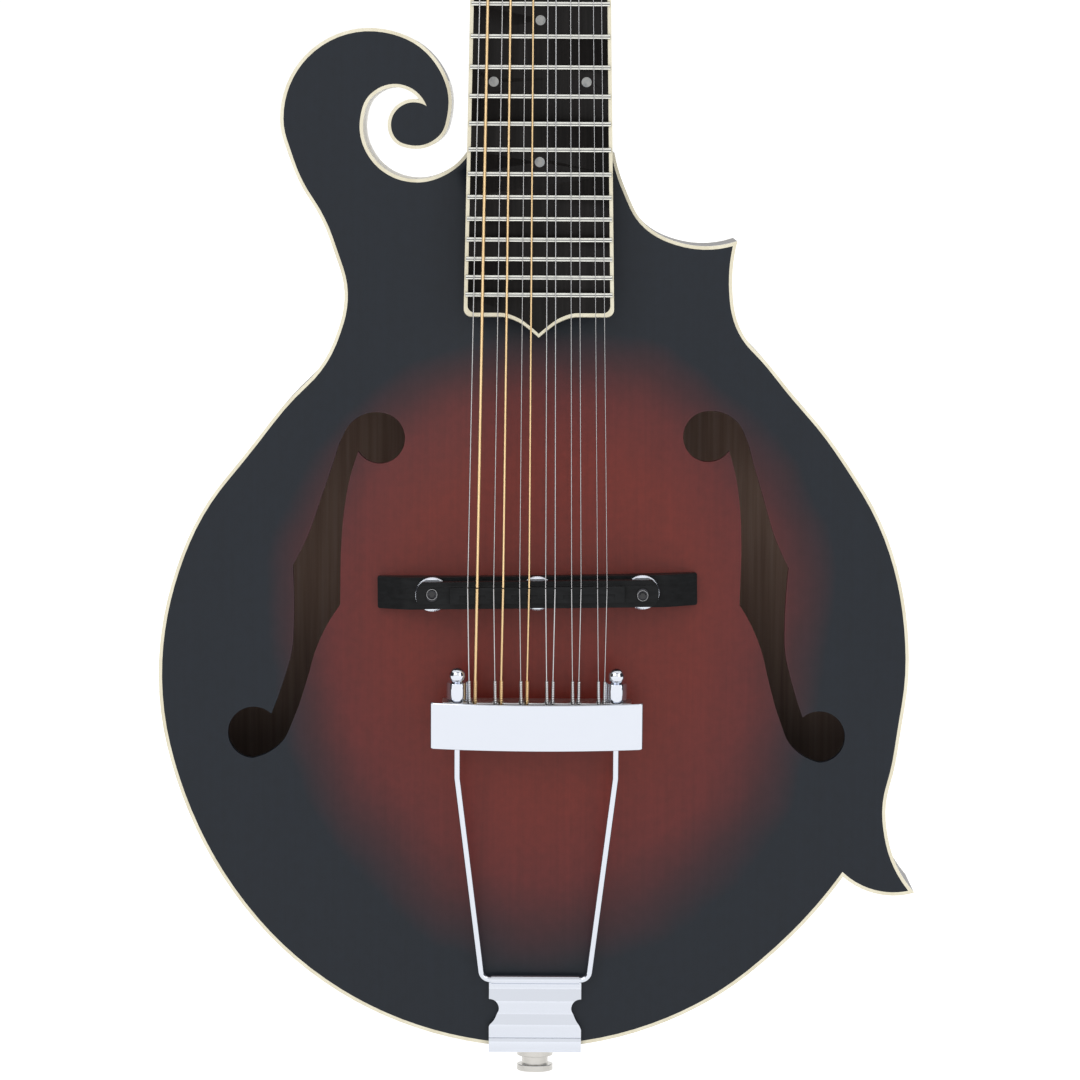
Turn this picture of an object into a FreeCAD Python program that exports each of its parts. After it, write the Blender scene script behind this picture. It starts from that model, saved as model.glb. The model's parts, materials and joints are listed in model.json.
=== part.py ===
"""Twelve-string mandolin with a scroll, two points, f-holes and a trapeze tailpiece.

Frame: origin where the end pin enters the tail, +Z up the neck, the carved top faces -Y, X across.
All sizes are in millimetres. "Height" means distance in front of the ribs' front edge, that is -Y.
"""
import FreeCAD
import Part
import math
import os

from FreeCAD import Placement, Rotation, Vector

# ---- Driving dimensions ------------------------------------------------------------------------
SCALE_LENGTH = 352.4        # nut to saddle, along the fretboard
SADDLE_Z = 171.0            # saddle line above the tail
NECK_JOINT_Z = 326.5        # where the heel meets the body
RIB_DEPTH = 43.0
RIB_WALL = 2.0
BINDING_WIDTH = 1.2

TOP_EDGE = 3.8              # thickness of the top at its edge
TOP_RISE = 15.5             # height of the top's crown
TOP_WALL = 4.2
BACK_EDGE = 3.6
BACK_RISE = 13.0
BACK_WALL = 3.8
ARCH_CENTRE_Z = 165.0
ARCH_DOWN = 154.0           # from the crown to the flat edge at the tail
ARCH_UP = 158.0             # from the crown to the flat edge at the neck
ARCH_HALF_WIDTH = 122.0     # from the middle to the flat edge, up to the widest line
ARCH_HALF_WAIST = 60.0
ARCH_WIDE_Z = 141.0
ARCH_WAIST_Z = 273.0
ARCH_TAIL_RUN = 150.0       # the arch's edge closes in on a circle of this depth below the widest line
ARCH_TAIL_LEAST = 0.02
HOLLOW_BELOW = 0.5          # a plate's hollow starts this far under its gluing face

LINING_WIDTH = 5.0
LINING_HEIGHT = 10.0
TAIL_BLOCK = (64.0, 20.0)   # width, thickness
UPPER_BLOCK = ((50.0, 90.0), (262.0, 310.0))    # across and up, behind the upper point
LOWER_BLOCK = ((113.0, 150.0), (40.0, 82.0))    # behind the lower point
NECK_BLOCK = ((-110.0, 33.0), (298.0, 380.0))
HEEL_GAP_HALF = 22.0        # half the opening that the heel takes in the ribs
TONE_BAR_WIDTH = 6.0
TONE_BAR_HEIGHT = 9.0
TONE_BAR_Z = (62.0, 262.0)
TONE_BAR_X = ((-40.0, -22.0), (46.0, 24.0))     # each bar's middle at its two ends

NECK_ANGLE = 4.6            # fretboard against the ribs' edge, degrees
HEAD_ANGLE = 14.0           # headstock against the fretboard, degrees
BOARD_OVER_TOP = 14.0       # the fretboard's plane over the top's crown, under the saddle
BOARD_THICKNESS = 6.0
BOARD_PAST_FRET = 7.8       # the last fret to the square part of the board's end
BOARD_POINT = 7.5           # the ogee point beyond it
NUT_WIDTH = 46.5
BOARD_END_WIDTH = 54.2
BOARD_BINDING = 1.3
FRET_COUNT = 21
FRET_WIDTH = 1.9
FRET_HEIGHT = 1.0
FRET_END_GAP = 0.5
FRET_TANG = (0.6, 1.6)      # thickness, depth
DOT_RADIUS = 1.8
DOT_DEPTH = 1.5
DOT_OFFSET = 16.7           # the pair at the octave
NUT_THICKNESS = 5.0
NUT_BEARING = 1.2           # where a string leaves the nut's flat top
NUT_FLARE = 0.5             # room each side for the string's fan towards its post
NUT_OVER_STRINGS = 0.9
STRING_OVER_NUT = 1.5
STRING_OVER_SADDLE = 4.8

NECK_WOOD = 15.0            # neck under the board at the nut
NECK_WOOD_HEEL = 17.5
HEEL_CAP = 2.5
HEEL_END = (14.5, 13.0)     # half width and reach at the back
HEEL_SECTIONS = ((-6.0, 25.6, 52.0), (6.0, 24.5, 30.0), (18.0, 21.5, 20.0), (30.0, 18.0, 15.5))
TENON = (9.0, 4.0, 6.0, 14.0)   # half width, clearance in front and behind, length
TRUSS_RADIUS = 2.5
TRUSS_START = 160.0         # from the saddle
TRUSS_PAST_NUT = 6.0
TRUSS_NUT = (6.0, 8.0)      # across its flats, length
TRUSS_UNDER_BOARD = 1.0
NUT_POCKET = (5.0, 22.0, 7.5)   # half width, length and depth of the nut's pocket in the headstock

HEAD_PAST_TUNER = 18.5      # the last post to the crown
HEAD_THICKNESS = 14.0
HEAD_HALF_WIDTH = 32.0
VENEER = 2.0
HEAD_RISE = 2.4             # veneer's face above the plane under the fretboard
HEAD_BINDING = 1.4

TUNERS_A_SIDE = 6
TUNER_FIRST = 36.0          # nut to the first post
TUNER_PITCH = 23.5
POST_X = 22.0
POST_RADIUS = 3.0
POST_TOP = 13.0             # above the veneer
RUNNING_GAP = 0.05
GEAR_RADIUS = 4.6
GEAR_THICKNESS = 3.0
WORM_RADIUS = 1.9
WORM_GAP = 0.5
SHAFT_RADIUS = 1.6
BUSHING_WALL = 1.3
BUSHING_DEPTH = 8.0
WASHER = (5.6, 0.7)         # radius, thickness
BUSHING_NUT = (9.6, 2.2)    # across its flats, thickness
HOUSING_DEPTH = 9.0
HOUSING_ENDS = (6.6, 3.6)   # past the post's axis, past the worm's axis
HOUSING_WALLS = (1.2, 1.8)  # at the worm's two ends
HOUSING_EASE = 1.6
COLLAR = (3.0, 1.5)         # radius, length
WORM_MIDDLE = 4.6           # from the headstock's back to the worm's axis
GEAR_START = 3.2            # from the headstock's back to the gear
POST_WAIST = (3.6, 6.6)     # from the post's end: the groove for the string
POST_HOLE = (5.1, 0.75)     # from the post's end to the string's hole, its radius
KNOB_FERRULE = (2.7, 2.5)   # radius, length
KNOB_SCREW = (1.9, 0.9)     # radius, length past the knob
KNOB_EASE = 2.0
KNOB_LENGTH = 15.0
KNOB_WIDTH = 17.0
KNOB_THICKNESS = 7.0

BRIDGE_HALF_LENGTH = 57.8
BRIDGE_WIDTH = 11.6
BRIDGE_TURN = 0.9           # degrees, treble side nearer the neck
FOOT_TIP_DROP = 8.1         # the foot's thin ends below its middle
FOOT_OVER_TOP = 5.8         # the foot's flat middle over the top's crown
SADDLE_HALF_LENGTH = 43.6
SADDLE_WIDTH = 9.6
SADDLE_TRAVEL = 1.5         # each way
WHEEL_RADIUS = 6.2
WHEEL_THICKNESS = 2.2
WHEEL_EASE = 0.35
WHEEL_GAP = 1.8             # foot to wheel at rest
POST_SPREAD = 37.8
BRIDGE_POST_RADIUS = 2.0
POST_SET = 5.0              # depth of the posts in the foot
POST_SOCKET = (2.2, 1.6)    # across its flats, depth
POST_UNDER_STRINGS = 2.0
MIDDLE_POST_ROOM = 6.0      # depth of the blind hole for the middle post
FOOT_SHOULDER = (8.0, 4.0, 2.2)  # past the outer posts, then along and down to the thinned end
FOOT_EASE = 0.8
CREST_HALF_LENGTH = 31.3
CREST_DROP = (3.2, 2.4)     # beside the crest, and past its ends
CREST_WIDTH = 3.0           # either side of the middle
CREST_STEPS = (1, 3)        # courses whose bearing point is set back
CREST_STEP = 1.5
CREST_EDGE = 2.6
CREST_DEPTH = 1.6

HINGE_Z = 25.4
HINGE_HEIGHT = 7.4
ROD_RADIUS = 1.15
ROD_HALF_AT_HINGE = 19.4
ROD_HALF_AT_BAR = 28.6
ROD_BEND_Z = 101.0          # where the wires turn from parallel towards the hinge
ROD_BEND_RADIUS = 3.4       # into the hinge's knuckle
STRING_BAR_Z = (115.6, 129.6)
BAR_HALF_LENGTH = 34.0
BAR_HALF_HEIGHT = 3.2
BAR_SLOT = (0.7, 4.0)       # half width, metal left below it
COVER_Z = (112.8, 129.8)
COVER_HALF_LENGTH = 38.3
COVER_WALL = 1.2
COVER_SAG = 2.6             # rise of the arched sheet between its ends
COVER_LIP = 3.4
COVER_BEND = 1.6            # width of the turn at each end
WIRE_PAST_BAR = 6.0         # the wire's ends inside the cap nuts
CAP_NUT_ACROSS = 6.8
CAP_NUT_LENGTH = 7.0
CAP_BALL = (2.95, 9.3)      # radius, distance of its centre from the bar
HANGER_WALL = 1.4
HANGER_HALF_WIDTH = 16.8
HANGER_NOTCH = 3.6          # depth of the round notch in each side
HANGER_NOTCH_Z = (18.2, 6.8)    # where each notch starts and ends
HANGER_BEND = 0.5           # inside radius over the binding
HANGER_WAVES = ((22.9, 0.9), (16.7, 1.8), (12.8, 0.6), (8.5, 1.7), (3.6, 0.5))  # height up, lift
HANGER_TOP_LIFT = 2.0       # where the sheet meets its knuckle
HANGER_EDGE_LIFT = 1.1      # where it turns over the binding
JACK_Y = 21.5
JACK_RADIUS = 5.9
JACK_BORE = 3.2
JACK_LENGTH = 30.0
FLANGES = (2.2, 2.3)        # thickness of the inner and the outer flange
LEAF_PAST_JACK = 12.0       # the hanger's leaf beyond the pin's axis
KNUCKLE = (16.0, 0.45)      # half length, wall
BUTTON_NECK = 4.8
BUTTON_FLANGE = 6.6
BUTTON_REACH = 10.9         # past the hanger
BUTTON_COLLAR = (5.4, 3.2)  # radius, length between the hanger and the inner flange

STRING_DIAMETERS = (0.45, 1.15, 0.36, 0.90, 0.30, 0.70, 0.42, 0.42, 0.32, 0.32, 0.26, 0.26)
WOUND = (1, 3, 5)
COURSES = 6
COURSE_AT_NUT = 7.4
COURSE_AT_SADDLE = 9.3
PAIR_AT_NUT = 2.6
PAIR_AT_SADDLE = 3.4
PAIR_AT_BAR = 1.8
PIECE_GAP = 0.3             # between pieces that move past each other
CONTACT_GAP = 0.03          # under a string where it bears

# ---- Sizes that follow from them ---------------------------------------------------------------
BOARD_AT_SADDLE = TOP_RISE + BOARD_OVER_TOP
BOARD_END = SCALE_LENGTH * 2 ** (-FRET_COUNT / 12) - BOARD_PAST_FRET
FOOT_TOP = TOP_RISE + FOOT_OVER_TOP
HEAD_STEP = BOARD_THICKNESS - HEAD_RISE
HEAD_LENGTH = TUNER_FIRST + (TUNERS_A_SIDE - 1) * TUNER_PITCH + HEAD_PAST_TUNER

# ---- The body's outline, tail to tail, clockwise seen from the front: (x, z) --------------------
BASS_SIDE = [(0, 0), (-71.5, 20), (-124, 80), (-137.5, 141), (-127.5, 184.5), (-97, 228.5), (-74.5, 257),
             (-70.5, 272.5), (-76, 295), (-90, 322.5), (-94, 338), (-85, 361), (-60, 371), (-38.5, 361),
             (-32, 342), (-36, 331), (-45, 327.4), (-53.5, 331), (-55, 337.5), (-51, 343.8), (-43.7, 345.3)]
CHANNEL = [(-43.7, 345.3), (-50.5, 349.5), (-60.5, 346.3), (-64, 337), (-59, 322.8), (-44, 316.5),
           (-34, 319.5), (-26.4, NECK_JOINT_Z)]
TREBLE_SHOULDER = [(27, NECK_JOINT_Z), (30.4, 315), (39, 300), (53, 293.5), (71.8, 294.7)]
TREBLE_SIDE = [(71.8, 294.7), (70, 279), (71.8, 266), (86.5, 246.3), (109, 218.7), (127, 187.4),
               (135.3, 143), (131.5, 109.5), (127.4, 83.8), (131.7, 67), (138, 57.5)]
LOWER_POINT = [(138, 57.5), (126.3, 56.7), (112, 63.2)]
TREBLE_TAIL = [(112, 63.2), (93.6, 41.5), (59.7, 15.3), (0, 0)]

# ---- The f-hole in its own frame: (outwards, up) from its middle --------------------------------
F_HOLES = ((82.3, 169.1, 20.6), (-80.2, 168.8, -22.9))     # middle x, z and lean in degrees
F_EYE_TOP = (58.4, 9.2)     # distance up the axis, radius
F_EYE_BOTTOM = (-58.4, 9.4)
F_OUTER_UPPER = [(7.6, 64.9), (11.5, 60), (12.7, 52), (12, 44), (11, 30), (10, 15), (10.8, 3.4)]
F_OUTER_LOWER = [(10.8, 3.4), (7, -4.5), (2.5, -15), (-1, -25), (-2.5, -36)]
F_INNER_LOWER = [(-10.2, -59), (-11.3, -46), (-10.3, -33.5), (-8.8, -20), (-9.4, -9), (-10.6, -2.8)]
F_INNER_UPPER = [(-10.6, -2.8), (-8.6, 2), (-2.5, 17), (1.8, 30), (4.4, 41.5)]


# ---- Curves ------------------------------------------------------------------------------------
def unit(x, z):
    size = math.hypot(x, z)
    return x / size, z / size


def circle_tangent(a, b, c, at):
    """Direction at point `at` (0, 1 or 2) of the circle through a, b and c."""
    ab = unit(b[0] - a[0], b[1] - a[1])
    bc = unit(c[0] - b[0], c[1] - b[1])
    ac = unit(c[0] - a[0], c[1] - a[1])
    turn_ab = math.atan2(ab[0] * ac[1] - ab[1] * ac[0], ab[0] * ac[0] + ab[1] * ac[1])
    turn_bc = math.atan2(ac[0] * bc[1] - ac[1] * bc[0], ac[0] * bc[0] + ac[1] * bc[1])
    base = math.atan2(ac[1], ac[0])
    angle = {0: base - turn_ab - turn_bc, 1: base + turn_bc - turn_ab, 2: base + turn_ab + turn_bc}[at]
    return math.cos(angle), math.sin(angle)


def arc_from(start, direction, end, y):
    """The arc from start to end that leaves start along direction."""
    dx, dz = end[0] - start[0], end[1] - start[1]
    cross = direction[0] * dz - direction[1] * dx
    dot = direction[0] * dx + direction[1] * dz
    half = math.atan2(cross, dot) / 2
    if abs(half) < 1e-4:
        return Part.LineSegment(Vector(start[0], y, start[1]), Vector(end[0], y, end[1])).toShape()
    bulge = math.tan(half) / 2
    middle = ((start[0] + end[0]) / 2 + dz * bulge, (start[1] + end[1]) / 2 - dx * bulge)
    points = [Vector(p[0], y, p[1]) for p in (start, middle, end)]
    return Part.Arc(*points).toShape()


def smooth_run(points, first=None, last=None, y=0.0):
    """Tangent arcs through the points, two for each span; first and last fix the end directions."""
    count = len(points)
    ways = []
    for i in range(count):
        if i == 0:
            ways.append(first or circle_tangent(*points[:3], at=0))
        elif i == count - 1:
            ways.append(last or circle_tangent(*points[-3:], at=2))
        else:
            ways.append(circle_tangent(*points[i - 1:i + 2], at=1))
    edges = []
    for p, q, t, u in zip(points, points[1:], ways, ways[1:]):
        vx, vz = q[0] - p[0], q[1] - p[1]
        sx, sz = t[0] + u[0], t[1] + u[1]
        along = vx * sx + vz * sz
        spread = 1 - (t[0] * u[0] + t[1] * u[1])
        square = vx * vx + vz * vz
        if spread < 1e-9:
            reach = square / (2 * along)
        else:
            reach = (math.sqrt(along * along + 2 * spread * square) - along) / (2 * spread)
        joint = ((p[0] + q[0] + reach * (t[0] - u[0])) / 2, (p[1] + q[1] + reach * (t[1] - u[1])) / 2)
        edges.append(arc_from(p, t, joint, y))
        edges.append(arc_from(q, (-u[0], -u[1]), joint, y))
    return edges


def straight(a, b, y=0.0):
    return Part.LineSegment(Vector(a[0], y, a[1]), Vector(b[0], y, b[1])).toShape()


def wire_of(edges):
    return Part.Wire(Part.__sortEdges__(edges))


def prism(face, y_low, y_high):
    """A flat face at y = 0 made solid between two y planes."""
    moved = face.copy()
    moved.translate(Vector(0, y_low, 0))
    return moved.extrude(Vector(0, y_high - y_low, 0))


def box(x, y, z):
    """A block between three (low, high) pairs."""
    return Part.makeBox(x[1] - x[0], y[1] - y[0], z[1] - z[0], Vector(x[0], y[0], z[0]))


def rod(start, end, radius):
    way = end - start
    return Part.makeCylinder(radius, way.Length, start, way)


def polygon(points, y=0.0):
    corners = [Vector(p[0], y, p[1]) for p in points]
    return Part.Face(Part.makePolygon(corners + corners[:1]))


def hexagon_prism(centre, axis, across, length):
    """A hexagonal prism that starts at centre and runs along axis."""
    radius = across / math.sqrt(3)
    ring = [Vector(radius * math.cos(math.radians(60 * i)), radius * math.sin(math.radians(60 * i)), 0)
            for i in range(6)]
    face = Part.Face(Part.makePolygon(ring + ring[:1]))
    solid = face.extrude(Vector(0, 0, length))
    solid.Placement = Placement(centre, Rotation(Vector(0, 0, 1), axis))
    return solid


# ---- Frames ------------------------------------------------------------------------------------
# The neck frame has its origin on the fretboard's plane under the saddle, z up the board, y into it.
NECK_FRAME = Placement(Vector(0, -BOARD_AT_SADDLE, SADDLE_Z), Rotation(Vector(1, 0, 0), -NECK_ANGLE))
# The head frame starts behind the nut on the wood's front face, z up the headstock, y into it.
HEAD_FRAME = NECK_FRAME.multiply(Placement(Vector(0, HEAD_STEP + VENEER, SCALE_LENGTH + NUT_THICKNESS),
                                           Rotation(Vector(1, 0, 0), -HEAD_ANGLE)))


def placed(shape, frame):
    out = shape.copy()
    out.Placement = frame.multiply(out.Placement)
    return out


def in_neck(shape):
    return placed(shape, NECK_FRAME)


def in_head(shape):
    return placed(shape, HEAD_FRAME)


# ---- The body ----------------------------------------------------------------------------------
def body_outline():
    edges = smooth_run(BASS_SIDE, first=(-1, 0))
    edges += smooth_run(CHANNEL)
    edges.append(straight(CHANNEL[-1], TREBLE_SHOULDER[0]))
    edges += smooth_run(TREBLE_SHOULDER)
    edges += smooth_run(TREBLE_SIDE)
    edges += smooth_run(LOWER_POINT)
    edges += smooth_run(TREBLE_TAIL, last=(-1, 0))
    return wire_of(edges)


OUTLINE = body_outline()


def inset(distance):
    """The face inside the body's outline, a distance in from it."""
    wire = OUTLINE.makeOffset2D(-distance, 2, False, False, False)
    if abs(Part.Face(wire.Wires[0]).Area) > abs(Part.Face(OUTLINE).Area):
        wire = OUTLINE.makeOffset2D(distance, 2, False, False, False)
    return Part.Face(max(wire.Wires, key=lambda w: abs(Part.Face(w).Area)))


def swell(t):
    """One at t = 0, falling on a cosine to zero at t = 1 and beyond."""
    return (1 + math.cos(math.pi * min(abs(t), 1.0))) / 2


def arch(x, z):
    """The share of the full rise at a point: a lengthwise swell times a crosswise one."""
    reach = ARCH_UP if z > ARCH_CENTRE_Z else ARCH_DOWN
    up_waist = min(max((z - ARCH_WIDE_Z) / (ARCH_WAIST_Z - ARCH_WIDE_Z), 0.0), 1.0)
    waist = 1 - swell(up_waist)
    tail = math.sqrt(max(1 - (max(ARCH_WIDE_Z - z, 0.0) / ARCH_TAIL_RUN) ** 2, ARCH_TAIL_LEAST))
    half_width = (ARCH_HALF_WIDTH - (ARCH_HALF_WIDTH - ARCH_HALF_WAIST) * waist) * tail
    return swell((z - ARCH_CENTRE_Z) / reach) * swell(x / half_width)


def arched_block(base, rise, side, depth=90.0):
    """The solid under an arched surface at height base + rise x arch: side +1 is the back, -1 the top."""
    grid = []
    for i in range(49):
        x = -150 + 300 * i / 48
        heights = [-12 + 8 * j for j in range(50)]
        grid.append([Vector(x, side * (base + rise * arch(x, z)), z) for z in heights])
    surface = Part.BSplineSurface()
    surface.interpolate(grid)
    return surface.toShape().extrude(Vector(0, -side * depth, 0))


TOP_OUTER = arched_block(TOP_EDGE, TOP_RISE - TOP_EDGE, -1)


def f_hole_face():
    """The f-hole's opening in its own frame, as a face at y = 0."""
    top, top_radius = F_EYE_TOP
    low, low_radius = F_EYE_BOTTOM

    def on_eye(middle, radius, degrees):
        a = math.radians(degrees)
        return radius * math.cos(a), middle + radius * math.sin(a)

    def eye(middle, radius, start, mid, end):
        return Part.Arc(*[Vector(p[0], 0, p[1]) for p in (on_eye(middle, radius, start),
                                                        on_eye(middle, radius, mid),
                                                        on_eye(middle, radius, end))]).toShape()

    top_start, top_end = -55.0, 75.0
    low_start, low_end = 110.0, 250.0
    edges = [eye(top, top_radius, top_start, 180.0, top_end)]
    edges += smooth_run([on_eye(top, top_radius, top_end)] + F_OUTER_UPPER)
    edges += smooth_run(F_OUTER_LOWER + [on_eye(low, low_radius, low_start)])
    edges.append(eye(low, low_radius, low_start, 0.0, low_end))
    edges += smooth_run([on_eye(low, low_radius, low_end)] + F_INNER_LOWER)
    edges += smooth_run(F_INNER_UPPER + [on_eye(top, top_radius, top_start)])
    return Part.Face(wire_of(edges))


def f_hole_cutters():
    """Both f-holes as prisms; the bass one is the treble one mirrored, each with its own lean."""
    cutters = []
    for x, z, lean in F_HOLES:
        cutter = prism(f_hole_face(), -60, 20)
        if x < 0:
            cutter = cutter.mirror(Vector(0, 0, 0), Vector(1, 0, 0))
        cutter.Placement = Placement(Vector(x, 0, z), Rotation(Vector(0, 1, 0), -lean))
        cutters.append(cutter)
    return cutters


def halves(plate):
    """A plate as its two bookmatched halves, which meet along the middle."""
    solids = []
    for x in ((-200, 0), (0, 200)):
        solids += plate.common(box(x, (-60, 90), (-20, 400))).Solids
    return Part.makeCompound(solids)


def top_plate():
    plate = prism(inset(BINDING_WIDTH), -40, 0).common(TOP_OUTER)
    hollow = arched_block(-HOLLOW_BELOW, TOP_RISE - TOP_WALL + HOLLOW_BELOW, -1)
    plate = plate.cut(hollow)
    return halves(plate.cut(Part.makeCompound(f_hole_cutters())))


def back_plate():
    outer = arched_block(BACK_EDGE, BACK_RISE - BACK_EDGE, 1)
    hollow = arched_block(-HOLLOW_BELOW, BACK_RISE - BACK_WALL + HOLLOW_BELOW, 1)
    plate = prism(inset(BINDING_WIDTH), 0, 40).common(outer).cut(hollow)
    plate.translate(Vector(0, RIB_DEPTH, 0))
    return halves(plate)


def band(outer, inner, y_low, y_high):
    return prism(outer.cut(inner), y_low, y_high)


INNER = inset(RIB_WALL)
HEEL_GAP = box((-HEEL_GAP_HALF, HEEL_GAP_HALF), (-10, RIB_DEPTH + 10),
               (NECK_JOINT_Z - RIB_WALL - 3, NECK_JOINT_Z + 3))


def zone(across, up):
    """A flat zone between two (low, high) pairs."""
    return box(across, (-1, 1), up)


def area(across, up):
    """The part of the inner face inside a zone."""
    return INNER.common(zone(across, up))


def tail_zone():
    width, thickness = TAIL_BLOCK
    return (-width / 2, width / 2), (-1, thickness)


def jack_cutter(radius):
    return rod(Vector(0, JACK_Y, -5), Vector(0, JACK_Y, JACK_LENGTH + 5), radius)


# The ribs are bent strips that butt against each other: each one's (low, high) across and up.
RIB_STRIPS = (((-150, 0), (-5, 80)), ((-150, 0), (80, 184.5)), ((-150, -67.2), (184.5, 338)),
              ((-67.2, 0), (184.5, 338)), ((-150, 0), (338, 380)), ((0, 150), (-5, 70)),
              ((0, 150), (70, 187.4)), ((0, 150), (187.4, 276)), ((0, 150), (276, 330)))


def ribs():
    shape = band(Part.Face(OUTLINE), INNER, 0, RIB_DEPTH)
    shape = shape.cut(HEEL_GAP).cut(jack_cutter(JACK_RADIUS))
    strips = []
    for x, z in RIB_STRIPS:
        strips += shape.common(box(x, (-1, RIB_DEPTH + 1), z)).Solids
    return Part.makeCompound(strips)


def neck_block():
    core = prism(area(*NECK_BLOCK), 0, RIB_DEPTH)
    lip = prism(Part.Face(OUTLINE), 0, RIB_DEPTH).common(HEEL_GAP)
    return core.fuse(lip).removeSplitter().cut(heel_tenon())


def end_blocks():
    solids = [prism(area(*tail_zone()), 0, RIB_DEPTH).cut(jack_cutter(JACK_RADIUS))]
    solids += [prism(area(*block), 0, RIB_DEPTH) for block in (UPPER_BLOCK, LOWER_BLOCK)]
    return Part.makeCompound(solids)


def linings():
    blocks = [zone(*block) for block in (NECK_BLOCK, tail_zone(), UPPER_BLOCK, LOWER_BLOCK)]
    free = INNER.cut(blocks[0])
    wire = max(free.Faces, key=lambda f: f.Area).OuterWire
    shrunk = Part.Face(wire).makeOffset2D(-LINING_WIDTH, 2, False, False, False)
    strip = free.cut(Part.Face(shrunk.Wires[0]))
    for block in blocks:
        strip = strip.cut(block)
    strip = strip.cut(zone((-200, 200), (NECK_BLOCK[1][0] - LINING_WIDTH - 0.5, 400)))
    front = prism(strip, 0, LINING_HEIGHT)
    back = prism(strip, RIB_DEPTH - LINING_HEIGHT, RIB_DEPTH)
    return Part.makeCompound(front.Solids + back.Solids)


def tone_bars():
    """Two bars glued under the top; their front faces follow its inside."""
    hollow = arched_block(-HOLLOW_BELOW, TOP_RISE - TOP_WALL + HOLLOW_BELOW, -1)
    bars = []
    half = TONE_BAR_WIDTH / 2
    low, high = TONE_BAR_Z
    for x_tail, x_top in TONE_BAR_X:
        face = polygon([(x_tail - half, low), (x_tail + half, low),
                        (x_top + half, high), (x_top - half, high)])
        blank = prism(face, -30, 0)
        bar = blank.common(hollow)
        deep = hollow.copy()
        deep.translate(Vector(0, TONE_BAR_HEIGHT, 0))
        bars += bar.cut(deep).Solids
    return Part.makeCompound(bars)


def edge_binding(y_low, y_high):
    return band(Part.Face(OUTLINE), inset(BINDING_WIDTH), y_low, y_high)


# ---- The neck ----------------------------------------------------------------------------------
def board_half_width(z):
    """Half the fretboard's width at a distance from the saddle."""
    share = (z - (BOARD_END - BOARD_POINT)) / (SCALE_LENGTH - (BOARD_END - BOARD_POINT))
    return (BOARD_END_WIDTH + (NUT_WIDTH - BOARD_END_WIDTH) * share) / 2


def board_outline(margin=0.0):
    """The fretboard's face, with an ogee point at the body end, a margin in from its edge."""
    z0 = BOARD_END + margin
    tip = BOARD_END - BOARD_POINT + margin
    low = board_half_width(z0) - margin
    high = board_half_width(SCALE_LENGTH) - margin
    corner = 2.6
    left = smooth_run([(-low, z0 + corner), (-low + corner * 0.3, z0 + corner * 0.3), (-low + corner, z0)],
                      first=(0, -1), last=(1, 0))
    right = smooth_run([(low - corner, z0), (low - corner * 0.3, z0 + corner * 0.3), (low, z0 + corner)],
                       first=(1, 0), last=(0, 1))
    ogee_left = smooth_run([(-14, z0), (-7.5, z0 - 1.8), (-3, tip + 2.6), (0, tip)], first=(1, 0))
    ogee_right = smooth_run([(0, tip), (3, tip + 2.6), (7.5, z0 - 1.8), (14, z0)], last=(1, 0))
    edges = left + [straight((-low + corner, z0), (-14, z0))] + ogee_left + ogee_right
    edges += [straight((14, z0), (low - corner, z0))] + right
    edges += [straight((low, z0 + corner), (high, SCALE_LENGTH))]
    edges += [straight((high, SCALE_LENGTH), (-high, SCALE_LENGTH))]
    edges += [straight((-high, SCALE_LENGTH), (-low, z0 + corner))]
    return Part.Face(wire_of(edges))


def fret_distance(number):
    """From the saddle to a fret."""
    return SCALE_LENGTH * 2 ** (-number / 12)


def dot_places():
    """Dots between the frets: (x, distance from the saddle)."""
    places = []
    for number in (3, 5, 7, 10, 12, 15):
        z = (fret_distance(number) + fret_distance(number - 1)) / 2
        offsets = (-DOT_OFFSET, DOT_OFFSET) if number == 12 else (0,)
        places += [(x, z) for x in offsets]
    return places


def dots(radius=DOT_RADIUS):
    return [rod(Vector(x, 0, z), Vector(x, DOT_DEPTH, z), radius) for x, z in dot_places()]


def fret_slot(number):
    z = fret_distance(number)
    half = board_half_width(z) - BOARD_BINDING
    thickness, depth = FRET_TANG
    return box((-half, half), (-0.1, depth), (z - thickness / 2, z + thickness / 2))


def fretboard():
    board = prism(board_outline(BOARD_BINDING), 0, BOARD_THICKNESS)
    top_end = box((-40, 40), (0, BOARD_THICKNESS), (SCALE_LENGTH - BOARD_BINDING - 1, SCALE_LENGTH))
    face = prism(board_outline(), 0, BOARD_THICKNESS).common(top_end)
    side = board_half_width(SCALE_LENGTH) - BOARD_BINDING
    core = box((-side, side), (0, BOARD_THICKNESS), (0, SCALE_LENGTH))
    board = board.fuse(face.common(core)).removeSplitter()
    cuts = [fret_slot(n) for n in range(1, FRET_COUNT + 1)] + dots()
    return in_neck(board.cut(Part.makeCompound(cuts)))


def board_binding():
    side = board_half_width(SCALE_LENGTH) - BOARD_BINDING
    whole = prism(board_outline(), 0, BOARD_THICKNESS)
    inner = prism(board_outline(BOARD_BINDING), 0, BOARD_THICKNESS)
    end = box((-side, side), (-1, BOARD_THICKNESS + 1),
              (SCALE_LENGTH - BOARD_BINDING - 1, SCALE_LENGTH + 1))
    return in_neck(whole.cut(inner).cut(end))


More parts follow.
